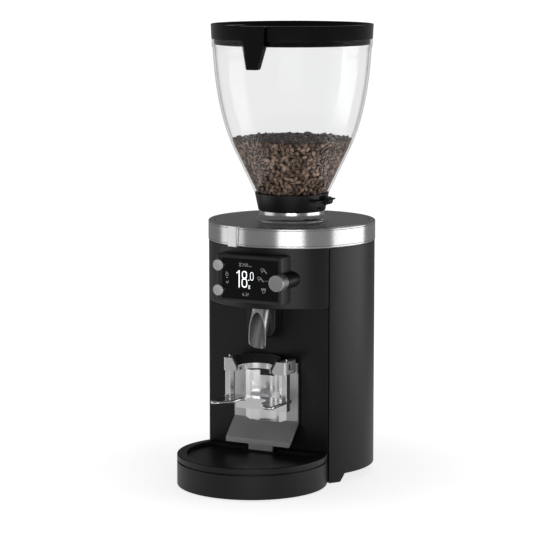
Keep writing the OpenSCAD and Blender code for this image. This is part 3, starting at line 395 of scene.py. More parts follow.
@dataclass(frozen=True)
class Finish:
    """A surface finish: its colour, sheen and grain.

    The grain is a noise on the object's own coordinates. It varies the roughness and the colour a little
    and gives the surface its relief.
    """

    slot: str
    colour: Colour
    rough: float = 0.5
    metal: float = 0.0
    grain: Grain = Grain.EVEN
    grain_mm: float = 0.8
    spread: float = 0.08
    tint: float = 0.10
    relief_mm: float = 0.0
    specular: float = 0.5
    glow: float = 0.0
    clear: float = 0.0
    alpha: float = 1.0
    edge_from: float = 0.66
    edge_more: float = 0.5
    brushed: float = 0.0
    brushed_turn: float = 0.25
    # attribute of painted shade: where it is 0 the colour falls to deepest times itself
    shaded_by: str = ""
    deepest: float = 0.06

    def shade(self, factor: float) -> tuple[float, ...]:
        """Returns the colour, lighter or darker, with its alpha."""
        return (*(min(1.0, c * factor) for c in self.colour), 1.0)

    def base(self, tree: bpy.types.NodeTree, grain: bpy.types.NodeSocket) -> bpy.types.NodeSocket:
        """Mixes the base colour.

        Args:
            tree: The material's tree.
            grain: The grain's noise.

        Returns:
            The colour's output: varied by the grain, and darkened by painted shade where the named attribute
            is low.
        """
        colour = add_node(tree, "Mix", {"Factor": grain, "A": self.shade(1 - self.tint),
                                        "B": self.shade(1 + self.tint)}, data_type="RGBA")["Result"]
        if not self.shaded_by:
            return colour
        painted_shade_and_tone = add_node(tree, "Attribute", attribute_name=self.shaded_by)["Fac"]
        return add_node(tree, "Mix", {"Factor": painted_shade_and_tone, "A": self.shade(self.deepest), "B": colour},
                        data_type="RGBA")["Result"]

    def material(self, name: str) -> bpy.types.Material:
        """Builds the node material.

        Args:
            name: Its name.

        Returns:
            The material.
        """
        material = bpy.data.materials.new(name)
        material.use_nodes = True
        tree = material.node_tree
        place = add_node(tree, "TexCoord")["Object"]
        stretch = [k / (self.grain_mm * MM) for k in self.grain.value]
        stretched = add_node(tree, "Mapping", {"Vector": place, "Scale": stretch})["Vector"]
        grain = add_node(tree, "TexNoise", {"Vector": stretched, "Scale": 1.0, "Detail": 4.0})["Fac"]
        rough = add_node(tree, "MapRange", {"Value": grain, "To Min": max(0.0, self.rough - self.spread),
                                            "To Max": min(1.0, self.rough + self.spread)})["Result"]
        inputs = {"Base Color": self.base(tree, grain), "Roughness": rough, "Metallic": self.metal,
                  "Specular IOR Level": self.specular, "Transmission Weight": self.clear, "Alpha": self.alpha,
                  "Emission Strength": self.glow, "Anisotropic": self.brushed,
                  "Anisotropic Rotation": self.brushed_turn}
        if self.glow:
            inputs["Emission Color"] = self.shade(1.0)
        if self.clear:
            edge = add_node(tree, "LayerWeight", {"Blend": 0.5})["Facing"]
            inputs["Alpha"] = add_node(tree, "MapRange", {
                "Value": edge, "From Min": self.edge_from, "To Min": self.alpha,
                "To Max": self.alpha + self.edge_more}, interpolation_type="SMOOTHSTEP")["Result"]
        if self.relief_mm:
            inputs["Normal"] = add_node(tree, "Bump", {
                "Height": grain, "Strength": 1.0, "Distance": self.relief_mm * MM})["Normal"]
        feed(tree, tree.nodes["Principled BSDF"], inputs)
        return material


class Finishes(Enum):
    """Every finish of the grinder."""

    POWDER_COAT = Finish("black_panel", (0.0065, 0.0065, 0.007), 0.40, grain_mm=0.5, relief_mm=0.004,
                         spread=0.05, specular=0.36)
    CAST_COAT = Finish("black_casting", (0.0065, 0.0065, 0.007), 0.38, grain_mm=0.9, relief_mm=0.01,
                       spread=0.06, specular=0.36)
    SATIN_PLASTIC = Finish("black_plastic", (0.006, 0.006, 0.0065), 0.34, grain_mm=0.35, relief_mm=0.003)
    GLOSS_BLACK = Finish("gloss_black", (0.0015, 0.0015, 0.002), 0.08, grain_mm=30, spread=0.02,
                         specular=0.35)
    PANEL_GLASS = Finish("display_glass", (0.002, 0.002, 0.0025), 0.10, grain_mm=20, spread=0.02,
                         specular=0.3)
    # a lighter copy of the black plastic: painted light on the display case and inside the dosing funnel
    PAINTED_LIGHT_PLASTIC = Finish("black_plastic", (0.022, 0.022, 0.023), 0.36, grain_mm=0.35, relief_mm=0.003)
    RUBBER = Finish("rubber", (0.018, 0.018, 0.018), 0.85, grain_mm=0.7, relief_mm=0.03)
    TURNED_STEEL = Finish("ring_steel", (0.66, 0.66, 0.67), 0.28, 1.0, Grain.TURNED, 0.25, 0.05, 0.05, 0.0008,
                          brushed=0.8)
    POLISHED_STEEL = Finish("polished_steel", (0.74, 0.74, 0.75), 0.22, 1.0, Grain.TURNED, 0.6, 0.03, 0.02)
    BRIGHT_SHEET = Finish("polished_steel", (0.86, 0.86, 0.87), 0.19, 1.0, Grain.DRAWN_UP, 0.6, 0.03, 0.02)
    SATIN_ALUMINIUM = Finish("satin_aluminium", (0.72, 0.72, 0.73), 0.46, 1.0, grain_mm=0.3, relief_mm=0.003)
    SPOUT_STEEL = Finish("satin_aluminium", (0.56, 0.56, 0.57), 0.30, 1.0, Grain.DRAWN_UP, 0.5,
                         relief_mm=0.002)
    RAW_ALUMINIUM = Finish("frame_aluminium", (0.50, 0.51, 0.52), 0.42, 1.0, Grain.TURNED, 0.4,
                           relief_mm=0.004)
    MACHINE_STEEL = Finish("machine_steel", (0.42, 0.43, 0.44), 0.32, 1.0, grain_mm=0.4, relief_mm=0.002)
    IRON_CORE = Finish("iron_core", (0.20, 0.21, 0.22), 0.5, 0.8, Grain.TURNED, 0.8, relief_mm=0.03)
    BURR_STEEL = Finish("burr_steel", (0.62, 0.48, 0.24), 0.28, 1.0, grain_mm=0.4, relief_mm=0.002)
    DISC_STEEL = Finish("dark_disc", (0.52, 0.52, 0.53), 0.22, 1.0, grain_mm=0.5, relief_mm=0.001,
                        spread=0.03)
    CLEAR = Finish("clear_hopper", (0.12, 0.13, 0.13), 0.02, clear=1.0, spread=0.005, tint=0.005, grain_mm=60,
                   alpha=0.1)
    # bean colour, taken down by the painted shade that the beans carry
    ROASTED = Finish("coffee", (0.95, 0.60, 0.45), 0.42, grain_mm=7.0, tint=0.25, spread=0.08, specular=0.3,
                     shaded_by="painted_shade_and_tone")
    # near-black fill: painted shade in the gaps between the beans
    BEAN_GAP_SHADE = Finish("coffee", (0.02, 0.011, 0.008), 0.6, grain_mm=3.0, tint=0.3, relief_mm=0.3)
    BOARD = Finish("circuit_board", (0.02, 0.14, 0.06), 0.35, grain_mm=1.5)
    SCREEN_WHITE = Finish("display_glass", (0.93, 0.95, 0.97), 0.4, glow=1.0, tint=0.01)
    SCREEN_GREY = Finish("display_glass", (0.30, 0.32, 0.33), 0.4, glow=0.32, tint=0.01)

    def __init__(self, finish: Finish) -> None:
        """Keeps the finish and leaves its material to be built when it is first used."""
        self.finish = finish
        self.built: bpy.types.Material | None = None

    def material(self) -> bpy.types.Material:
        """Returns the material, built once."""
        if self.built is None:
            self.built = self.finish.material(self.name.lower())
        return self.built


def place_piece(form: Form, name: str, body: str, finish: Finishes, replaces: Sequence[str] = ()) -> None:
    """Turns a form into a finished piece that rides on a body.

    Args:
        form: The shape, in millimetres.
        name: The piece's name.
        body: The CAD body that it moves with.
        finish: Its finish.
        replaces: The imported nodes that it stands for.
    """
    bmesh.ops.scale(form.bm, vec=(MM,) * 3, verts=form.bm.verts[:])
    mesh = form.mesh(name)
    form.bm.free()
    mesh.shade_smooth()
    mesh.set_sharp_from_angle(angle=SMOOTH_BELOW)
    mesh.materials.append(finish.material())
    piece = add_object(name, mesh)
    weights = piece.modifiers.new("even shading", "WEIGHTED_NORMAL")
    weights.keep_sharp = True
    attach(piece, body)
    if replaces:
        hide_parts(*replaces)
    LOG.info("%s: %d faces on %s", name, len(mesh.polygons), body)


def dress_node(node: str, finish: Finishes) -> None:
    """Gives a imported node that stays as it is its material.

    Args:
        node: The node's name.
        finish: Its finish.
    """
    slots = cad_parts[node].data.materials
    slots.clear()
    slots.append(finish.material())
    LOG.info("%s: packed node in %s", node, finish.name.lower())


def edge_node(node: str, body: str, finish: Finishes, width: float = 0.3) -> None:
    """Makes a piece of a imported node's own shape with its edges rounded."""
    form = Form().copied(node).flattened().rounded(width)
    place_piece(form, f"{node}_finished", body, finish, [node])


@dataclass
class Body:
    """The panels round the motor, with the outlines that the foot shares with them."""

    radius: float = 119.3
    sheet: float = 2.0
    edge: float = 0.5
    low: float = 12.5
    leg_low: float = 1.0
    leg_front: float = 55.5
    leg_rear: float = 47.0
    top: float = 336.6
    head_low: float = 250.5
    head_ease: float = 3.0
    front: float = 70.96
    front_half: float = 95.1
    front_seam: float = 53.5
    rear_seam: float = 150.0
    seam: float = 0.8
    deck_low: float = 14.5
    deck_top: float = 22.5
    frame_radius: float = 116.8
    gap: float = 0.3
    vents: tuple[Point, ...] = tuple((34.0, 1.8, 150.0 + 9.0 * i) for i in range(9))
    inlets: tuple[Point, ...] = ((14.3, 10.3, 46.0), (11.3, 7.8, 84.0))
    rear_depths: Flat = (-140.0, -90.0)
    duct_room: tuple[Point, Point] = ((-22.3, -94.3, 240.0), (22.3, -60.0, 254.5))
    cell_room: tuple[Point, Point] = ((-12.3, -100.0, 90.2), (12.3, 0.0, 104.8))

    def wall(self, first: float, last: float, low: float) -> Form:
        """Makes a round wall.

        Args:
            first: The angle it starts at, from the front rightwards, in degrees.
            last: The angle it ends at.
            low: Its lower edge.

        Returns:
            The wall, a seam short of both angles.
        """
        slack = math.degrees(self.seam / 2 / self.radius)
        outline = strip((self.radius - self.sheet, low), (self.radius, self.top), self.edge)
        return Form().turned(outline, start=first + slack - 90, sweep=last - first - 2 * slack,
                             steps=round((last - first) / 2)).rounded(self.edge)

    def side(self) -> Form:
        """Returns the right side panel with its raised lower edge."""
        rise = [(-self.leg_front, 0), (-self.leg_rear, self.low), (FAR, self.low), (FAR, 0)]
        below = Form().prism(rise, 0, FAR, Axis.RIGHT)
        return self.wall(self.front_seam, self.rear_seam, self.leg_low).less(below)

    def rear(self) -> Form:
        """Returns the rear panel with its vents and the openings of the inlet and the switch."""
        holes = [Form().prism(strip((-half, z - up), (half, z + up), corner), *self.rear_depths, Axis.FORWARD)
                 for spots, corner in ((self.vents, 1.7), (self.inlets, 2.0)) for half, up, z in spots]
        return self.wall(self.rear_seam, 360 - self.rear_seam, self.low).less(*holes)

    def head(self) -> Form:
        """Returns the upper front panel, closed underneath where it overhangs."""
        inner, floor = self.radius - self.sheet, self.head_low + self.head_ease
        shell = ease([(0, self.head_low, 0), (self.radius, self.head_low, self.head_ease),
                      (self.radius, self.top, self.edge), (inner, self.top, self.edge),
                      (inner, floor, self.edge), (0, floor, 0)], 6)
        half = self.front_half - self.gap
        front = Form().block((-half, -FAR, FAR), (half, -self.front, 2 * FAR))
        return Form().turned(shell).within(front).less(Form().block(*self.duct_room), Spout().bore(self.gap))

    def lower_front(self) -> Form:
        """Returns the flat lower front panel."""
        half = self.front_half - self.seam
        sheet = Form().block((-half, -self.front, self.deck_top + self.gap),
                             (half, self.sheet - self.front, self.head_low - self.gap))
        return sheet.rounded(self.edge).less(Form().block(*self.cell_room))

    def build(self) -> None:
        """Places the panels."""
        for form, name, node in ((self.side(), "side_panel_right", "side_panel_right"),
                                 (self.side().mirrored(), "side_panel_left", "side_panel_left"),
                                 (self.rear(), "rear_panel", "rear_panel"),
                                 (self.head(), "head_panel", "front_panel_upper"),
                                 (self.lower_front(), "lower_panel", "front_panel_lower")):
            place_piece(form, f"{name}_coated", "stand", Finishes.POWDER_COAT, [node])
        edge_node("panel_screws", "stand", Finishes.MACHINE_STEEL, 0.2)


@dataclass
class Foot:
    """The hollow cast foot, its rubber pads and the tray on it."""

    radius: float = 106.0
    forward: float = 121.0
    low: float = 2.0
    top: float = 37.6
    step: float = 2.6
    lip: float = 1.4
    wall: float = 5.0
    leg_rear: float = 45.5
    boss_radius: float = 13.0
    pad_radius: float = 11.05
    pads: tuple[Flat, ...] = ((-78, -150), (78, -150), (0, -205))
    tray_low: float = 37.9
    tray_top: float = 46.4
    rim: float = 14.0
    slope: float = 1.5
    floor: float = 3.0
    ledge: float = 17.0
    ledge_top: float = 45.3
    notch_half: float = 23.5
    notch_deep: float = 27.5
    notch_top: float = 43.5
    notch_step: float = 3.0
    steps: int = 240

    def casting(self, body: Body) -> Form:
        """Makes the foot with the deck under the body.

        Args:
            body: The panels that stand on it.

        Returns:
            The casting.
        """
        rim, shoulder, under, over = self.radius - self.step, self.top - self.lip, -50, 100
        outline = ease([(0, self.low, 0), (self.radius, self.low, 1.5), (self.radius, shoulder, 0.9),
                        (rim, shoulder, 0), (rim, self.top, 0.3), (0, self.top, 0)])
        dish = Form().turned(outline, (0, -self.forward, 0), steps=self.steps)
        behind = slab((-body.front - body.gap, body.deck_top), (FAR, over))
        rear = slab((-body.front + self.wall, under), (FAR, over))
        hollow = Form().drum((0, -self.forward, -1), self.radius - self.wall, self.top - self.wall + 1,
                             sides=96)
        bosses = [Form().drum((x, y, -2), self.boss_radius, 60, sides=TINY) for x, y in self.pads]
        hollow.less(slab((-body.front - self.wall, under), (FAR, over)), *bosses)
        seats = [Form().drum((x, y, -1), self.pad_radius, 6, sides=TINY) for x, y in self.pads]
        deck, legs = (Form().drum((0, 0, low), body.frame_radius, body.deck_top - low, sides=160)
                      for low in (body.deck_low, self.low))
        deck.less(slab((-FAR, 0), (-body.front, over)))
        legs.within(Form().block((-body.front_half, -body.front, 0), (body.front_half, -self.leg_rear, over)))
        return dish.less(behind, rear).less(hollow).less(*seats).plus(deck, legs)

    def tray(self, body: Body) -> Form:
        """Makes the round tray with its rim, its ledge and the notch in the ledge.

        Args:
            body: The panels behind it.

        Returns:
            The tray.
        """
        inner, floor, over = self.radius - self.rim, self.tray_low + self.floor, 100
        outline = ease([(0, self.tray_low, 0), (self.radius, self.tray_low, 1.0),
                        (self.radius, self.tray_top, 1.8), (inner, self.tray_top, 1.2),
                        (inner - self.slope, floor, 2.5), (0, floor, 0)], 6)
        dish = Form().turned(outline, (0, -self.forward, 0), steps=self.steps)
        low, half, front = self.tray_low + 0.5, self.notch_half, -body.front - self.ledge
        ledge, step = (Form().drum((0, -self.forward, low), self.radius - 1, top - low, sides=MIDDLE)
                       for top in (self.ledge_top, self.notch_top))
        bars = Form().block((-FAR, front, 0), (-half, 0, over)).both_sides()
        middle = Form().block((-half - 1, -body.front - self.notch_deep, 0), (half + 1, 0, over))
        notch = Form().block((-half, front - self.notch_step, self.notch_top), (half, 100, over))
        behind = slab((-body.front - body.gap, 0), (FAR, over))
        return dish.plus(ledge.within(bars).rounded(0.5), step.within(middle)).less(notch).less(behind)

    def build(self, body: Body) -> None:
        """Places the foot, the tray and the pads.

        Args:
            body: The panels that the foot carries.
        """
        place_piece(self.casting(body), "cast_foot", "stand", Finishes.CAST_COAT, ["base"])
        place_piece(self.tray(body), "drip_tray", "tray_body", Finishes.CAST_COAT, ["tray"])
        edge_node("rubber_feet", "stand", Finishes.RUBBER, 0.8)


@dataclass
class Crown:
    """The adjustment ring, the disc on top and the neck that carries the hopper."""

    radius: float = 120.0
    width: float = 8.0
    low: float = 337.2
    top: float = 365.0
    bevel: float = 1.2
    groove: float = 0.5
    groove_in: float = 3.0
    tab_angle: float = 15.2
    tab_width: float = 17.0
    tab_out: float = 4.5
    tab_proud: float = 1.3
    slit_wide: float = 0.9
    slit_deep: float = 1.2
    seat_radius: float = 119.8
    disc_low: float = 361.5
    disc_radius: float = 111.4
    disc_bore: float = 24.0
    neck_low: float = 50.0
    neck_high: float = 46.7
    neck_cove: float = 9.0
    neck_foot: float = 2.5
    neck_flange: float = 1.2
    neck_bore: float = 31.0
    neck_tube: Flat = (20.5, 23.0)
    collar_low: float = 379.0
    collar_high: float = 404.0
    collar_radii: Flat = (48.2, 53.4)
    spigot: float = 30.5
    spigot_deep: float = 8.0
    throat: float = 27.0
    gate_half: float = 28.3
    gate_low: float = 393.0
    gate_high: float = 396.0
    gate_end: float = -30.0
    latch: tuple[Flat, Flat] = ((-4.0, 383.0), (4.0, 385.2))
    latch_turn: float = -10.0

    def ring(self) -> Form:
        """Returns the ring with two turned grooves and its grip tab."""
        inner, rim, cut = self.radius - self.width, self.radius, self.groove
        corners = [(inner, self.low, 0.3), (rim, self.low, self.bevel)]
        for z in (self.low + self.groove_in, self.top - self.groove_in):
            corners += [(rim, z - cut, 0), (rim - cut, z, 0), (rim, z + cut, 0)]
        corners += [(rim, self.top, self.bevel), (inner, self.top, 0.3)]
        ring = Form().turned(ease(corners), steps=LARGE)
        turn = Matrix.Rotation(math.radians(-self.tab_angle - 90), 4, "Z")
        half, low, top = self.tab_width / 2, self.low - self.tab_proud, self.top + self.tab_proud
        tab = Form().block((inner + 1, -half, low), (rim + self.tab_out, half, top)).rounded(1.2, 3)
        slit = Form().block((rim - self.slit_deep, half, self.low - 1),
                            (rim + 1, half + self.slit_wide, self.top + 1))
        under = Form().drum((0, 0, self.low - 3), self.seat_radius, 3, sides=MIDDLE)
        return ring.less(slit.moved(turn)).plus(tab.moved(turn)).less(under)

    def disc(self) -> Form:
        """Returns the flat disc inside the ring."""
        bore, rim = self.disc_bore, self.disc_radius
        return Form().turned(ease([(bore, self.disc_low, 0.2), (rim, self.disc_low, 0.2),
                                   (rim, self.top, 0.6), (bore, self.top, 0.2)]))

    def neck(self) -> Form:
        """Returns the coved neck."""
        high, top, bore, cove = self.neck_high, self.collar_low - 0.3, self.neck_bore, self.neck_cove
        flange, foot = self.top + self.neck_flange, self.neck_low + self.neck_foot
        tube, outer = self.neck_tube
        curve = [(high + cove * (1 - math.cos(a)), flange + cove * (1 - math.sin(a)))
                 for a in (math.radians(5 + 7.5 * k) for k in range(12))]
        outline = [(tube, self.top - 20), (outer, self.top - 20), (outer, self.top), (foot, self.top),
                   (foot, self.top + 0.6), (foot - 0.4, flange)]
        outline += [p for p in reversed(curve) if p[0] < self.neck_low + 2]
        return Form().turned(outline + [(high, flange + cove), (high, top - 0.4), (high - 0.4, top),
                                        (bore, top), (bore, self.top + 2), (tube, self.top + 2)])

    def collar(self) -> Form:
        """Returns the collar under the hopper with its latch slot."""
        (wide, rim), low = self.collar_radii, self.collar_low - self.spigot_deep
        outline = ease([(self.throat, low, 0.3), (self.spigot, low, 0.5), (self.spigot, self.collar_low, 0),
                        (wide, self.collar_low, 0.8), (rim, self.collar_high, 0.8),
                        (self.throat, self.collar_high, 0)])
        half = self.gate_half
        slot = Form().block((-wide - 2, -half, self.gate_low), (FAR, half, self.gate_high))
        slot.less(Form().block((2 * self.gate_end, -60, self.gate_low - 3),
                               (self.gate_end, 60, self.gate_high + 4)))
        latch = Form().prism(strip(*self.latch, 1), 40, 80, Axis.RIGHT)
        latch.moved(Matrix.Rotation(math.radians(self.latch_turn), 4, "Z"))
        return Form().turned(outline).less(slot, latch)

    def build(self) -> None:
        """Places the ring, the disc, the neck, the collar and the gate."""
        for form, name, body, finish, node in (
                (self.ring(), "ring_turned", "adjuster", Finishes.TURNED_STEEL, "adjustment_ring"),
                (self.disc(), "disc_satin", "stand", Finishes.DISC_STEEL, "top_disc"),
                (self.neck(), "neck_polished", "stand", Finishes.POLISHED_STEEL, "hopper_neck"),
                (self.collar(), "collar_moulded", "hopper", Finishes.SATIN_PLASTIC, "hopper_collar")):
            place_piece(form, name, body, finish, [node])
        edge_node("shutoff_gate", "gate", Finishes.SATIN_PLASTIC, 0.2)
        edge_node("gate_knob", "gate", Finishes.SATIN_PLASTIC, 0.5)
@dataclass
class Hopper:
    """The clear hopper, its lid and the beans in it."""

    low: float = 404.0
    low_radius: float = 53.3
    cone_top: Flat = (82.4, 465.0)
    pull: Flat = (108.8, 520.0)
    shoulder: Flat = (113.3, 610.0)
    rim_radius: float = 114.7
    rim_low: float = 614.0
    top: float = 623.5
    wall: float = 3.0
    edge: float = 0.6
    bean_level: float = 478.0
    bean_heap: float = 5.0
    bean_size: Point = (5.2, 3.5, 2.5)
    bean_pitch: float = 7.4
    bean_flat: tuple[Flat, ...] = ((-0.62, -0.42), (-0.15, -0.46), (0.0, 0.05), (0.15, -0.46), (0.62, -0.42))
    # painted shade on a ring's points, dome then flat side: dark at the rim and in the crease, lightest on
    # the crown and flat faces
    bean_painted_shade: tuple[float, ...] = (0.0, 0.6, 1.0, 1.0, 0.6, 0.0, 0.2, 1.0, 0.0, 1.0, 0.2)
    bean_rings: tuple[float, ...] = (-0.86, -0.5, 0.0, 0.5, 0.86)
    bean_sizes: Flat = (0.86, 1.1)
    bean_lights: Flat = (0.35, 1.0)
    bean_tumble: float = 0.42
    bean_layers: int = 2
    crease_out: float = 0.6
    wall_inset: float = 2.6
    wall_layer: float = 4.8
    wall_row: float = 0.74
    wall_stray: float = 0.25
    wall_lift: float = 1.4
    wall_gap: float = 0.4
    heap_inset: float = 4.5
    heap_layer: float = 4.0
    heap_row: float = 0.78
    heap_stray: float = 0.3
    heap_lift: float = 2.6
    core_inset: float = 9.0
    core_spigot: Flat = (26.4, 396.5)
    core_shoulder: float = 472.0
    seed: int = 7
    lid_low: float = 623.8
    lid_high: float = 644.8
    lid_radius: float = 116.1
    lid_skin: float = 3.0
    lid_dish: float = 5.0
    plug_radius: float = 111.2
    plug_deep: float = 8.0
    tab_long: float = 60.0
    tab_half: float = 20.3
    tab_foot: float = 10.8
    tab_out: float = 10.0
    tab_back: float = 60.0
    tab_lean: float = 9.0

    def side(self, inset: float, steps: int = 24) -> list[Flat]:
        """Finds the wall's outline.

        Args:
            inset: How far it lies inside the outer face.
            steps: Segments of its curve.

        Returns:
            Radius and height of each point, from the collar to the rim.
        """
        points = [(self.low_radius - inset, self.low)]
        for i in range(steps + 1):
            t = i / steps
            shares = ((1 - t) ** 2, 2 * t * (1 - t), t * t)
            knots = (self.cone_top, self.pull, self.shoulder)
            points.append((sum(w * k[0] for w, k in zip(shares, knots)) - inset,
                           sum(w * k[1] for w, k in zip(shares, knots))))
        return points + [(self.rim_radius - inset, self.rim_low), (self.rim_radius - inset, self.top)]

    def shell(self) -> Form:
        """Returns the clear wall."""
        outer, inner, eased = self.side(0), self.side(self.wall), self.top - self.edge
        (out, _), (within, _) = outer[-1], inner[-1]
        rim = [(out, eased), (out - self.edge, self.top), (within + self.edge, self.top), (within, eased)]
        return Form().turned(outer[:-1] + rim + inner[-2::-1])

    def radius_at(self, z: float) -> float:
        """Finds the inner radius.

        Args:
            z: The height.

        Returns:
            The radius there.
        """
        outline = self.side(self.wall)
        for (r0, z0), (r1, z1) in zip(outline, outline[1:]):
            if z0 <= z <= z1:
                return r0 + (r1 - r0) * (z - z0) / max(z1 - z0, 1e-6)
        return outline[0][0]

    def one_bean(self) -> bpy.types.Mesh:
        """Returns a bean along X, a dome over a flat side with a crease, and each point's painted shade."""
        dome = [(math.cos(a), math.sin(a)) for a in (math.pi * k / 5 for k in range(6))]
        bean, loops, rims = Form(), [], []
        bm = bean.bm
        painted_shade_and_tone = bm.verts.layers.float.new("painted_shade_and_tone")
        for x in self.bean_rings:
            girth = math.sqrt(1 - x * x)
            loop = [bm.verts.new((x, y * girth, z * girth)) for y, z in (*dome, *self.bean_flat)]
            for vertex, light in zip(loop, self.bean_painted_shade):
                # painted shade, also darker towards the tips
                vertex[painted_shade_and_tone] = light * girth
            loops.append(loop)
            rims.append([bm.edges.new((loop[i - 1], loop[i])) for i in range(len(loop))])
        for rim, following in zip(rims, rims[1:]):
            bmesh.ops.bridge_loops(bm, edges=rim + following)
        for loop, x in ((loops[0], -1), (loops[-1], 1)):
            tip = bm.verts.new((x, 0, 0))
            for i in range(len(loop)):
                bm.faces.new((tip, loop[i - 1], loop[i]))
        bmesh.ops.recalc_face_normals(bm, faces=bm.faces[:])
        bmesh.ops.scale(bm, vec=self.bean_size, verts=bm.verts[:])
        return bean.mesh("bean")

    def around(self, dice: random.Random, radius: float, stray: float) -> Iterator[float]:
        """Spreads beans over a ring.

        Args:
            dice: The random numbers.
            radius: The ring's radius.
            stray: How far a bean strays from its place, as a share of their pitch.

        Yields:
            The angle of each bean.
        """
        count = max(1, int(math.tau * radius / self.bean_pitch))
        offset = dice.random()
        for k in range(count):
            yield math.tau * (k + offset + dice.uniform(-stray, stray)) / count

    def seats(self, dice: random.Random) -> Iterator[tuple[Vector, Vector]]:
        """Spreads beans along the wall and over the heap.

        Args:
            dice: The random numbers.

        Yields:
            Where each bean lies and which way its layer faces.
        """
        for layer in range(self.bean_layers):
            inset = self.wall_inset + layer * self.wall_layer
            z = self.low + 3
            while z < self.bean_level + 1:
                r = self.radius_at(z) - inset
                for a in self.around(dice, r, self.wall_stray):
                    height = z + dice.uniform(-self.wall_lift, self.wall_lift)
                    yield (Vector((r * math.cos(a), r * math.sin(a), height)),
                           Vector((math.cos(a), math.sin(a), -0.4)))
                z += self.bean_pitch * self.wall_row
        rim = self.radius_at(self.bean_level) - self.heap_inset
        for layer in range(self.bean_layers):
            r = 0.0
            while r < rim:
                for a in self.around(dice, r, self.heap_stray):
                    rise = (self.bean_heap * (1 - (r / rim) ** 2)
                            + dice.uniform(-self.heap_lift, self.heap_lift))
                    height = self.bean_level + (rise - layer * self.heap_layer)
                    yield (Vector((r * math.cos(a), r * math.sin(a), height)),
                           Vector((0.2 * math.cos(a), 0.2 * math.sin(a), 1)))
                r += self.bean_pitch * self.heap_row

    def beans(self) -> list[Form]:
        """Returns the beans along the wall and those on the heap, held inside the wall."""
        dice = random.Random(self.seed)
        bean = self.one_bean()
        forms = [Form(), Form()]
        for spot, facing in self.seats(dice):
            lean = Vector([dice.gauss(0, self.bean_tumble) for _ in range(3)])
            outward = "-Z" if dice.random() < self.crease_out else "Z"
            turn = (facing.normalized() + lean).to_track_quat(outward, "Y").to_matrix().to_4x4()
            size = Matrix.Scale(dice.uniform(*self.bean_sizes), 4)
            spin = Matrix.Rotation(dice.uniform(0, math.tau), 4, "Z")
            copy = bean.copy()
            copy.transform(Matrix.Translation(spot) @ turn @ spin @ size)
            light = dice.uniform(*self.bean_lights)
            # each bean's random lightness, multiplied into its painted shade
            for vertex, painted_shade_and_tone in zip(copy.vertices, copy.attributes["painted_shade_and_tone"].data):
                painted_shade_and_tone.value *= light
                room = self.radius_at(vertex.co.z) - self.wall_gap
                flat = Vector((vertex.co.x, vertex.co.y, 0))
                if flat.length > room:
                    vertex.co -= flat * (1 - room / flat.length)
            forms[spot.z >= self.bean_level - 2].bm.from_mesh(copy)
            bpy.data.meshes.remove(copy)
        bpy.data.meshes.remove(bean)
        return forms

    def core(self) -> Form:
        """Returns the near-black fill under the visible beans: painted shade in the gaps between them."""
        low, (spigot, foot), (cone, cone_high) = self.low + 0.3, self.core_spigot, self.cone_top
        shoulder = self.core_shoulder
        return Form().turned([(0, foot), (spigot, foot), (spigot, low),
                              (self.low_radius - self.core_inset, low), (cone - self.core_inset, cone_high),
                              (self.radius_at(shoulder) - 6, shoulder), (0, self.bean_level + 2)],
                             steps=SMALL)

    def lid(self) -> Form:
        """Returns the lid: a raised rim round a shallow dish, and the plug in the hopper."""
        rim, inner, plug = self.lid_radius, self.lid_radius - self.lid_skin, self.plug_radius
        dish, foot, bore = self.lid_high - self.lid_dish, self.lid_low - self.plug_deep, plug - self.lid_skin
        outline = ease([(0, dish - self.lid_skin, 0), (bore, dish - self.lid_skin, 1), (bore, foot, 0.4),
                        (plug, foot, 0.4), (plug, self.lid_low, 0), (rim - 1, self.lid_low, 0.4),
                        (rim, self.lid_high, 1.1), (inner, self.lid_high, 1.1), (inner - 2, dish, 1.5),
                        (0, dish, 0)], 5)
        return Form().turned(outline, steps=LARGE)

    def tab(self) -> Form:
        """Returns the tab that hangs from the lid's front edge."""
        low, high, half, foot = self.lid_high - self.tab_long, self.lid_high, self.tab_half, self.tab_foot
        right = [(foot - 2, low, 0), (foot, low + 2, 0), (half - 1.5, self.rim_low, 0), (half, high, 1)]
        face = ease([(-x, z, r) for x, z, r in reversed(right)] + right)
        front, back = self.lid_radius + self.tab_out, self.tab_back
        tab = Form().prism(face, back, FAR, Axis.FORWARD)
        tab.within(Form().drum((0, back - front, low - 1), back, 100, sides=MIDDLE),
                   Form().drum((0, 0, low - 1), front, 100, sides=LARGE))
        chamfer = Form().prism([(-half - 9, 20 - front), (-half + 10.5, -front - 6), (-half - 9, -front - 6)],
                               low - 5, high + 5)
        shear = Matrix.Identity(4)
        shear[0][2] = -self.tab_lean / self.tab_long
        chamfer.moved(Matrix.Translation((0, 0, high)) @ shear @ Matrix.Translation((0, 0, -high)))
        wall = Form().drum((0, 0, low - 2), self.rim_radius + 1, self.lid_low - low + 2, sides=LARGE)
        lid = Form().drum((0, 0, self.lid_low - 0.1), self.lid_radius - 2, 100, sides=LARGE)
        return tab.less(chamfer).flattened(0.4).rounded(0.8, 3, 30).less(wall, lid)

    def build(self) -> None:
        """Places the hopper, the beans and the lid."""
        at_wall, on_heap = self.beans()
        for form, name, body, finish, node in (
                (self.shell(), "hopper_clear", "hopper", Finishes.CLEAR, "hopper_shell"),
                (at_wall, "beans_at_wall", "hopper", Finishes.ROASTED, "coffee_beans"),
                (on_heap, "beans_on_heap", "hopper", Finishes.ROASTED, "coffee_beans"),
                (self.core(), "beans_shade_core", "hopper", Finishes.BEAN_GAP_SHADE, "coffee_beans"),
                (self.lid(), "lid_gloss", "lid", Finishes.GLOSS_BLACK, "hopper_lid"),
                (self.tab(), "lid_tab_gloss", "lid", Finishes.GLOSS_BLACK, "hopper_lid")):
            place_piece(form, name, body, finish, [node])


Line = tuple[float, tuple[Flat, ...]]
Word = tuple[str, Flat, Flat]


@dataclass(frozen=True)
class Marks:
    """What the display shows, on its X-Z plane: lines after their widths, ovals, and fitted figures."""

    lines: tuple[Line, ...]
    ovals: tuple[tuple[float, Flat, Flat], ...] = ()
    words: tuple[Word, ...] = ()


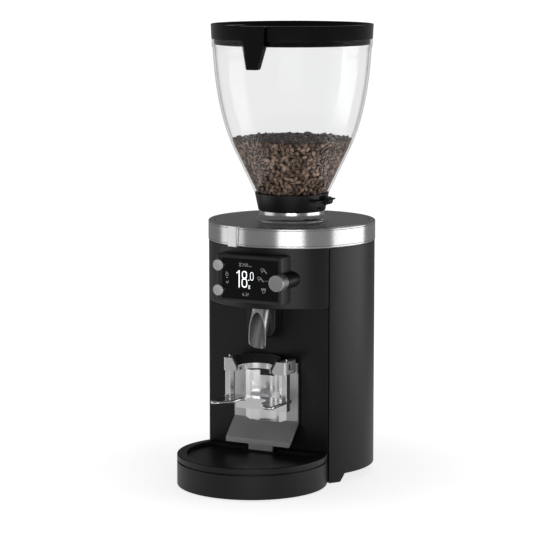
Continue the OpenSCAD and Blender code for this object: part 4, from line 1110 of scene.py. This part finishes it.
DOSE = Marks(((1.3, ((-18.2, 301.8), (-14.4, 305))), (1.7, ((-14.0, 306), (-14.0, 282)))),
             ((1.5, (-5.6, 300.2), (3.4, 4.8)), (1.5, (-5.6, 288.8), (3.8, 5.8))))
TENTHS = Marks(((1.5, ((0.5, 293.2), (2.1, 293.2))),), ((0.85, (6.1, 298.8), (2.4, 5.4)),),
               (("g", (0.4, 280.8), (3.4, 286.0)),))
BASKET: tuple[Line, ...] = (
    (0.6, ((0, 0), (0.6, -3.2), (4.4, -3.2), (5, 0), (0, 0))),
    (1.2, ((4.6, -1), (9.2, -6.4))),
    (0.6, ((2.5, -3.2), (2.5, -4.8), (1.2, -5.8))),
)
DROP = tuple((-33.4 + 2.0 * math.sin(math.tau * k / 10), 299.4 + 2.2 * math.cos(math.tau * k / 10))
             for k in range(11))
SIGNS = Marks((
    *((width, tuple((x + across, z + up) for across, up in points))
      for x, z in ((20.3, 310.6), (15.2, 298.4)) for width, points in BASKET),
    (0.35, ((25.6, 293.6), (31.5, 293.9))),
    (0.6, ((21, 282.8), (28.2, 282.8), (26.6, 277.6), (23.6, 276.4), (21, 282.8))),
    (1.2, ((22.6, 281), (27, 281))),
    (0.6, ((-14, 316.4), (-10.6, 316.4), (-14, 312), (-10.6, 312), (-14, 316.4))),
    (0.6, ((1.2, 312.4), (5.8, 312.6))),
    (0.7, ((0, 270.8), (0, 274.2), (1.6, 274.2))),
    (0.8, DROP),
    (0.8, ((-33.4, 301.6), (-34.6, 303.4))),
    (0.7, ((-34.8, 294.6), (-31.4, 294.9))),
    (1.0, ((-35, 289.6), (-32.8, 286.4), (-30.8, 290.4))),
), words=(("3:00", (-9, 312), (0.2, 316.6)), ("6.3", (-8.8, 270.6), (-1.4, 275.0))))


@dataclass
class Controls:
    """The display with its buttons and the selector knob."""

    left: float = -50.0
    right: float = 53.0
    low: float = 261.0
    high: float = 328.0
    front: float = 132.9
    skin: float = 3.0
    glass_left: float = -41.0
    glass_right: float = 47.5
    glass_low: float = 265.5
    glass_high: float = 322.5
    glass: float = 1.6
    glass_gap: float = 0.15
    proud: float = 0.08
    middle: float = 294.5
    button_x: float = -46.0
    button_apart: float = 17.7
    button_radius: float = 8.0
    button_gap: float = 0.4
    button_out: float = 4.0
    knob_x: float = 54.0
    knob_radius: float = 11.5
    knob_length: float = 18.0
    knob_gap: float = 1.5
    knob_grooves: Flat = (3.2, 7.2)
    knob_bore: Flat = (3.1, 12.0)
    body_radius: float = 119.35

    def recesses(self) -> list[Form]:
        """Returns the round recesses of the buttons and of the knob."""
        spots = [(self.button_x, self.middle + side * self.button_apart, self.button_radius + self.button_gap)
                 for side in (-1, 1)] + [(self.knob_x, self.middle, self.knob_radius + 0.1)]
        return [Form().drum((x, -60, z), r, 100, axis=Axis.FORWARD) for x, z, r in spots]

    def housing(self) -> Form:
        """Returns the housing that stands on the round front panel."""
        gap, skin = self.glass_gap, self.skin
        case = Form().block((self.left, -self.front, self.low), (self.right, -70, self.high)).rounded(1.6, 4)
        pocket = Form().block((self.glass_left - gap, -FAR, self.glass_low - gap),
                              (self.glass_right + gap, self.glass - self.front, self.glass_high + gap))
        hollow = Form().block((self.left + skin, skin - self.front, self.low + skin),
                              (self.right - skin, 0, self.high - skin))
        drum = Form().drum((0, 0, self.low - 1), self.body_radius, self.high - self.low + 2, sides=LARGE)
        return case.less(drum, hollow, pocket).less(*self.recesses())

    def pane(self) -> Form:
        """Returns the black glass."""
        pane = Form().block((self.glass_left, -self.front, self.glass_low),
                            (self.glass_right, self.glass - self.front, self.glass_high)).rounded(0.25)
        return pane.less(*self.recesses())

    def button(self, side: int) -> Form:
        """Makes a push button with its stem.

        Args:
            side: 1 for the upper button, -1 for the lower one.

        Returns:
            The button.
        """
        back, front, r = self.front - 4, self.front + self.button_out, self.button_radius
        outline = ease([(0, back, 0), (r, back, 0.3), (r, front, 0.9), (r * 0.6, front - 0.25, 0),
                        (0, front - 0.45, 0)])
        z = self.middle + side * self.button_apart
        stem = Form().drum((self.button_x, 5 - back, z), 3, 5.5, axis=Axis.FORWARD, sides=TINY)
        return Form().turned(outline, (self.button_x, 0, z), steps=SMALL, axis=Axis.FORWARD).joined(stem)

    def sleeve(self) -> Form:
        """Returns the black sleeve behind the knob."""
        r, front, bore = self.knob_radius, self.front - 0.1, self.knob_bore[0]
        outline = ease([(bore, 100, 0), (r, 100, 0), (r, front, 0.6), (bore, front, 0.2)])
        sleeve = Form().turned(outline, (self.knob_x, 0, self.middle), steps=SMALL, axis=Axis.FORWARD)
        return sleeve.less(Form().drum((0, 0, self.middle - 20), self.body_radius, 40, sides=LARGE))

    def knob(self) -> Form:
        """Returns the knob with two turned grooves and a fine chamfer."""
        back, r, (bore, deep) = self.front + self.knob_gap, self.knob_radius, self.knob_bore
        front = back + self.knob_length
        corners = [(bore, back, 0), (r, back, 0.5)]
        for y in (back + groove for groove in self.knob_grooves):
            corners += [(r, y, 0.1), (r - 0.5, y, 0), (r - 0.5, y + 1, 0), (r, y + 1, 0.1)]
        corners += [(r, front, 0.7), (r - 1.6, front, 0), (r - 2.0, front - 0.15, 0), (0, front - 0.15, 0),
                    (0, back + deep, 0), (bore, back + deep, 0)]
        return Form().turned(ease(corners), (self.knob_x, 0, self.middle), steps=96, axis=Axis.FORWARD)

    def figures(self, words: str, low: Flat, high: Flat) -> Form:
        """Makes generic figures as a thin plate on the glass.

        Args:
            words: The figures.
            low: The lower left corner that they are fitted to.
            high: The upper right corner.

        Returns:
            The plate.
        """
        curve = bpy.data.curves.new("figures", "FONT")
        curve.body, curve.size, curve.extrude = words, 10.0, self.proud / 2
        thing = add_object("figures", curve)
        mesh = bpy.data.meshes.new_from_object(thing.evaluated_get(bpy.context.evaluated_depsgraph_get()))
        form = Form()
        form.bm.from_mesh(mesh)
        bpy.data.objects.remove(thing)
        bpy.data.meshes.remove(mesh)
        across, up = [v.co.x for v in form.bm.verts], [v.co.y for v in form.bm.verts]
        stretch = ((high[0] - low[0]) / (max(across) - min(across)), (high[1] - low[1]) / (max(up) - min(up)))
        bmesh.ops.translate(form.bm, vec=(-min(across), -min(up), 0), verts=form.bm.verts[:])
        bmesh.ops.scale(form.bm, vec=(*stretch, 1), verts=form.bm.verts[:])
        spot = Matrix.Translation((low[0], -self.front - self.proud / 2, low[1]))
        return form.moved(spot @ Axis.FORWARD.value.to_matrix().to_4x4())

    def stroke(self, points: Sequence[Flat], width: float) -> Form:
        """Makes a lit line.

        Args:
            points: The points that it joins.
            width: Its width.

        Returns:
            The line, on the glass.
        """
        line = Form()
        for (x0, z0), (x1, z1) in zip(points, points[1:]):
            x, z = Vector((z0 - z1, x1 - x0)).normalized() * width / 2
            outline = [(x0 + x, z0 + z), (x0 - x, z0 - z), (x1 - x, z1 - z), (x1 + x, z1 + z)]
            line.joined(Form().prism(outline, self.front, self.front + self.proud, Axis.FORWARD))
        return line

    def oval(self, centre: Flat, half: Flat, width: float) -> Form:
        """Makes a lit, tall oval line, such as a nought.

        Args:
            centre: Its middle.
            half: Its half width and half height.
            width: The line's width.

        Returns:
            The oval, on the glass.
        """
        points = [[middle + reach * math.copysign(abs(wave(t)) ** 0.7, wave(t))
                   for middle, reach, wave in zip(centre, half, (math.cos, math.sin))]
                  for t in (math.tau * k / 24 for k in range(25))]
        return self.stroke(points, width)

    def lit(self, marks: Marks) -> Form:
        """Makes everything that is lit in one colour.

        Args:
            marks: What it shows.

        Returns:
            The marks, on the glass.
        """
        form = Form()
        for width, points in marks.lines:
            form.joined(self.stroke(points, width))
        for width, centre, half in marks.ovals:
            form.joined(self.oval(centre, half, width))
        for words, low, high in marks.words:
            form.joined(self.figures(words, low, high))
        return form

    def build(self) -> None:
        """Places the housing, the glass, its lit marks, the buttons and the knob."""
        place_piece(self.housing(), "display_case", "stand", Finishes.PAINTED_LIGHT_PLASTIC, ["display_housing"])
        place_piece(self.pane(), "display_pane", "stand", Finishes.PANEL_GLASS, ["display_glass"])
        for marks, name, finish in ((DOSE, "display_dose", Finishes.SCREEN_WHITE),
                                    (TENTHS, "display_tenths", Finishes.SCREEN_WHITE),
                                    (SIGNS, "display_signs", Finishes.SCREEN_GREY)):
            place_piece(self.lit(marks), name, "stand", finish)
        for side, body, node in ((1, "button_a", "button_upper"), (-1, "button_b", "button_lower")):
            place_piece(self.button(side), f"{node}_satin", body, Finishes.SATIN_ALUMINIUM, [node])
        place_piece(self.sleeve(), "knob_sleeve_black", "stand", Finishes.SATIN_PLASTIC, ["knob_sleeve"])
        place_piece(self.knob(), "knob_turned", "selector_turn", Finishes.TURNED_STEEL, ["selector_knob"])


@dataclass
class Spout:
    """The duct and the leaning spout."""

    radius: float = 13.8
    wall: float = 1.4
    lean: float = 20.0
    tip: float = 190.8
    tip_forward: float = 97.36
    mouth: float = 106.0
    mouth_ease: float = 11.0
    head_low: float = 250.5
    cut_front: float = 50.0
    duct_half: float = 22.0
    duct_heights: Flat = (203.0, 258.0)
    duct_depths: Flat = (71.2, 94.0)

    def place(self) -> Matrix:
        """Returns the lean and the place of the spout's axis."""
        lean = math.radians(self.lean)
        depth = self.tip_forward + self.radius * math.cos(lean)
        return (Matrix.Translation((0, -depth, self.tip + self.radius * math.sin(lean)))
                @ Matrix.Rotation(-lean, 4, "X"))

    def bore(self, grow: float) -> Form:
        """Returns the leaning cylinder that is larger than the spout by some clearance."""
        return Form().drum((0, 0, -40), self.radius + grow, 110, sides=MIDDLE).moved(self.place())

    def tube(self) -> Form:
        """Returns the spout, open at the front and rounded into its cut end."""
        side, r, inner = self.cut_front, self.mouth_ease, self.radius - self.wall
        reach = Form().block((-side, -FAR, self.tip - 1), (side, 0, 262))
        front = Form().block((-side, -FAR, 0), (side, -self.mouth, self.head_low - 0.6))
        nose = Form().block((-side, -FAR, 0), (side, r - self.mouth, self.tip + r - 1))
        nose.less(Form().drum((-60, r - self.mouth, self.tip + r), r, 120, axis=Axis.RIGHT, sides=96))
        wall = [(inner, -40), (self.radius, -40), (self.radius, 70), (inner, 70)]
        tube = Form().turned(wall, steps=160).moved(self.place()).within(reach)
        return tube.less(front).less(nose).rounded(0.25)

    def duct(self) -> Form:
        """Returns the black tongue behind the spout."""
        half, (low, top) = self.duct_half, self.duct_heights
        arc = [(half * math.cos(a), low + half + half * math.sin(a))
               for a in (math.pi + math.pi * k / 32 for k in range(33))]
        tongue = Form().prism(arc + [(half, top), (-half, top)], *self.duct_depths, Axis.FORWARD)
        return tongue.rounded(1.2, 3).less(self.bore(0.02))

    def build(self) -> None:
        """Places the spout and the duct."""
        place_piece(self.tube(), "spout_satin", "stand", Finishes.SPOUT_STEEL, ["spout"])
        place_piece(self.duct(), "duct_black", "stand", Finishes.SATIN_PLASTIC, ["outlet_duct"])


@dataclass
class Rest:
    """The holder of the portafilter."""

    forward: float = 110.0
    radius: float = 35.7
    sheet: float = 1.8
    lip_half: float = 22.6
    flank: float = 32.6
    plate: float = 79.16
    low: float = 84.5
    top: float = 156.0
    notch_half: float = 11.1
    notch_deep: float = 7.3
    fork_low: float = 117.1
    fork_high: float = 121.7
    throat: float = 112.2
    throat_ease: float = 111.96
    prong_root: float = 99.0
    prong_tip: float = 156.96
    prong_out: float = 50.0
    prong_in: float = 20.0
    slot: tuple[Flat, Flat] = ((-104.0, 164.2), (-99.6, 173.6))
    slot_ease: float = 2.1
    flank_out: float = 49.3
    screw: Flat = (-99.0, 162.6)
    arc_steps: int = 36

    def ahead(self) -> Form:
        """Returns the room in front of the fork's posts, which its prongs fill."""
        return Form().block((-60, -FAR, 110), (60, -self.throat, 125))

    def prongs(self) -> Form:
        """Returns the fork's two prongs, with a full round along their edges."""
        out, inside, tip = self.prong_out, self.prong_in, self.prong_tip
        half = [(out, -self.prong_root, 0), (out, -tip, 7), (inside + 16, -tip, 9), (inside, 20 - tip, 6),
                (inside, -self.throat_ease, 8)]
        outline = ease(half + [(-x, y, r) for x, y, r in reversed(half)], 6)
        return Form().prism(outline, self.fork_low, self.fork_high).rounded(2.1, 4, 25).within(self.ahead())

    def posts(self) -> Form:
        """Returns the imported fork's rear part."""
        return Form().copied("fork").flattened().rounded(0.4).less(self.ahead())

    def slit(self) -> Form:
        """Returns a thin dark plate on the right hook's flank: painted shade standing for the slot there."""
        out = self.flank_out
        return Form().prism(strip(*self.slot, self.slot_ease), out, out + 0.23, Axis.RIGHT)

    def clamp(self) -> Form:
        """Returns the clamp screw's head under the slot."""
        low, top, socket = self.flank_out, self.flank_out + 0.8, self.flank_out + 0.3
        outline = ease([(0, low, 0), (2.4, low, 0), (2.4, top, 0.3), (1.2, top, 0.1), (1.2, socket, 0),
                        (0, socket, 0)])
        return Form().turned(outline, (0, *self.screw), steps=TINY, axis=Axis.RIGHT)

    def arc(self, radius: float, last: float) -> list[Flat]:
        """Finds points of a round about the portafilter's axis.

        Args:
            radius: Its radius.
            last: The half width that it ends at.

        Returns:
            The points, from the middle rightwards.
        """
        end, steps = math.asin(last / radius), self.arc_steps
        return [(radius * math.sin(end * k / steps), radius * math.cos(end * k / steps) - self.forward)
                for k in range(steps + 1)]

    def trough(self) -> Form:
        """Returns the polished backrest: a round trough between two flanks."""
        lip, rear = self.lip_half, self.sheet - self.plate
        front, back = self.arc(self.radius, lip), self.arc(self.radius + self.sheet, lip - 1)
        foot = [(lip + 0.8, front[-1][1]), (self.flank, -self.plate), (self.flank - 4, rear), (lip - 1, rear)]
        right = front[1:] + foot + back[:0:-1]
        outline = [front[0]] + right + [back[0]] + [(-x, y) for x, y in reversed(right)]
        notch = Form().block((-self.notch_half, -FAR, self.top - self.notch_deep), (self.notch_half, 0, 300))
        return Form().prism(outline, self.low, self.top).less(notch).rounded(0.3)

    def build(self) -> None:
        """Places the holder's pieces."""
        place_piece(self.trough(), "backrest_polished", "stand", Finishes.BRIGHT_SHEET, ["backrest"])
        for node, finish, width in (("holder_plate", Finishes.SATIN_ALUMINIUM, 0.35),
                                    ("holder_hooks", Finishes.SATIN_ALUMINIUM, 0.35),
                                    ("dosing_funnel", Finishes.PAINTED_LIGHT_PLASTIC, 0.25),
                                    ("funnel_ring", Finishes.POLISHED_STEEL, 0.15)):
            edge_node(node, "stand", finish, width)
        place_piece(self.posts(), "fork_posts", "fork_body", Finishes.BRIGHT_SHEET, ["fork"])
        place_piece(self.prongs(), "fork_prongs", "fork_body", Finishes.BRIGHT_SHEET, ["fork"])
        # a dark plate of painted shade where the hook has a slot
        place_piece(self.slit(), "hook_slot_shade", "stand", Finishes.SATIN_PLASTIC)
        place_piece(self.clamp(), "hook_clamp", "stand", Finishes.POLISHED_STEEL)


@dataclass
class Inside:
    """The pieces in the body and at the back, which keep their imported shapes."""

    finishes: dict[Finishes, tuple[str, ...]] = field(default_factory=lambda: {
        Finishes.RAW_ALUMINIUM: ("head_deck", "frame_columns", "motor_upper_bell", "motor_lower_bell",
                                 "grind_chamber", "lower_burr_carrier", "burr_cap", "upper_burr_carrier",
                                 "ring_spider", "disc_posts", "load_cell"),
        Finishes.MACHINE_STEEL: ("motor_bolts", "motor_bearings", "motor_shaft", "lower_burr_screws",
                                 "upper_burr_screws", "selector_spindle"),
        Finishes.IRON_CORE: ("motor_stator", "motor_rotor"),
        Finishes.BURR_STEEL: ("lower_burr", "upper_burr"),
        Finishes.BOARD: ("control_board", "display_board"),
        Finishes.SATIN_PLASTIC: ("cooling_fan", "run_capacitor"),
    })

    def build(self) -> None:
        """Dresses the hidden nodes and places the rear fittings."""
        for finish, nodes in self.finishes.items():
            for node in nodes:
                dress_node(node, finish)
        edge_node("power_inlet", "stand", Finishes.SATIN_PLASTIC)
        edge_node("power_switch", "stand", Finishes.SATIN_PLASTIC)
        edge_node("power_rocker", "rocker", Finishes.GLOSS_BLACK, 0.4)


@dataclass(frozen=True)
class Softbox:
    """An upright soft light that stands round the machine and faces it, in metres.

    Its azimuth counts in degrees from the machine's front to its right.
    """

    name: str
    azimuth: float
    distance: float
    width: float
    low: float
    high: float
    radiance: float

    def place(self) -> None:
        """Adds the light, unseen by the camera itself."""
        angle, tall = math.radians(self.azimuth), self.high - self.low
        data = bpy.data.lights.new(self.name, "AREA")
        data.shape, data.size, data.size_y = "RECTANGLE", self.width, tall
        data.energy = self.radiance * math.pi * self.width * tall
        lamp = add_object(self.name, data)
        lamp.location = (self.distance * math.sin(angle), -self.distance * math.cos(angle),
                         (self.low + self.high) / 2)
        lamp.rotation_euler = (math.pi / 2, 0, angle)
        lamp.visible_camera = False


@dataclass(frozen=True)
class Fade:
    """A smooth change of the floor's glow with the distance from the machine, in metres."""

    near: float
    far: float
    first: float
    last: float

    def output(self, tree: bpy.types.NodeTree, away: bpy.types.NodeSocket) -> bpy.types.NodeSocket:
        """Adds the fade to a material.

        Args:
            tree: The material's tree.
            away: The distance.

        Returns:
            The glow's output.
        """
        return add_node(tree, "MapRange", {
            "Value": away, "From Min": self.near, "From Max": self.far, "To Min": self.first,
            "To Max": self.last}, interpolation_type="SMOOTHSTEP")["Result"]


@dataclass
class Studio:
    """The pale floor, the soft lights round it and the camera."""

    place: Point = (1.5370, -2.9747, 0.7685)
    turn: Point = (81.964, 0.0, 27.949)
    lens: float = 158.31
    room: float = 0.12
    paper: float = 1.0
    floor_size: float = 60.0
    seen: Fade = Fade(0.12, 0.6, 0.74, 1.0)
    cast: Fade = Fade(0.3, 1.3, 0.36, 0.12)
    boxes: tuple[Softbox, ...] = (
        Softbox("left", -60, 1.0, 0.75, 0.0, 0.46, 1.0),
        Softbox("front", 26, 1.4, 0.85, 0.06, 0.38, 3.6),
        Softbox("right", 112, 1.2, 1.3, 0.0, 0.44, 2.0),
        Softbox("rear", -165, 1.3, 1.2, 1.3, 2.2, 1.2),
    )

    def camera(self) -> None:
        """Sets the camera."""
        data = bpy.data.cameras.new("view")
        data.lens, data.sensor_width = self.lens, 36.0
        camera = add_object("view", data)
        camera.location = self.place
        camera.rotation_euler = [math.radians(a) for a in self.turn]
        bpy.context.scene.camera = camera

    def floor(self) -> None:
        """Adds the floor: white paper that glows a little, more so away from the machine."""
        bm = bmesh.new()
        bmesh.ops.create_grid(bm, x_segments=1, y_segments=1, size=self.floor_size)
        mesh = bpy.data.meshes.new("floor")
        bm.to_mesh(mesh)
        bm.free()
        material = bpy.data.materials.new("paper")
        material.use_nodes = True
        tree = material.node_tree
        place = add_node(tree, "TexCoord")["Object"]
        away = add_node(tree, "VectorMath", {0: place}, operation="LENGTH")["Value"]
        to_camera = add_node(tree, "LightPath")["Is Camera Ray"]
        glow = add_node(tree, "Mix", {"Factor": to_camera, "A": self.cast.output(tree, away),
                                      "B": self.seen.output(tree, away)}, data_type="FLOAT")["Result"]
        feed(tree, tree.nodes["Principled BSDF"], {
            "Base Color": (0.9, 0.9, 0.9, 1), "Roughness": 0.7, "Specular IOR Level": 0.0,
            "Emission Color": (1, 1, 1, 1), "Emission Strength": glow})
        mesh.materials.append(material)
        floor = add_object("floor", mesh)
        floor.visible_transmission = False

    def world(self) -> None:
        """Makes the backdrop white and the room that the machine reflects dark."""
        world = bpy.data.worlds.new("studio")
        world.use_nodes = True
        tree = world.node_tree
        path = add_node(tree, "LightPath")
        straight, turned = (add_node(tree, "Math", {0: path[one], 1: path[other]}, operation="ADD")["Value"]
                            for one, other in (("Is Camera Ray", "Is Transmission Ray"),
                                               ("Diffuse Depth", "Glossy Depth")))
        direct = add_node(tree, "Math", {0: straight, 1: turned}, operation="SUBTRACT")["Value"]
        shade = add_node(tree, "MapRange", {"Value": direct, "To Min": self.room, "To Max": self.paper})
        feed(tree, tree.nodes["Background"], {"Color": (1, 1, 1, 1), "Strength": shade["Result"]})
        bpy.context.scene.world = world

    def build(self) -> None:
        """Sets the whole stage."""
        bpy.context.scene.view_settings.view_transform = "Standard"
        self.world()
        self.floor()
        self.camera()
        for box in self.boxes:
            box.place()


def main() -> None:
    """Builds the grinder."""
    logging.basicConfig(level=logging.INFO, format="%(name)s: %(message)s")
    Studio().build()
    body = Body()
    body.build()
    Foot().build(body)
    for assembly in (Crown(), Hopper(), Controls(), Spout(), Rest(), Inside()):
        assembly.build()


if __name__ == "__main__":
    main()
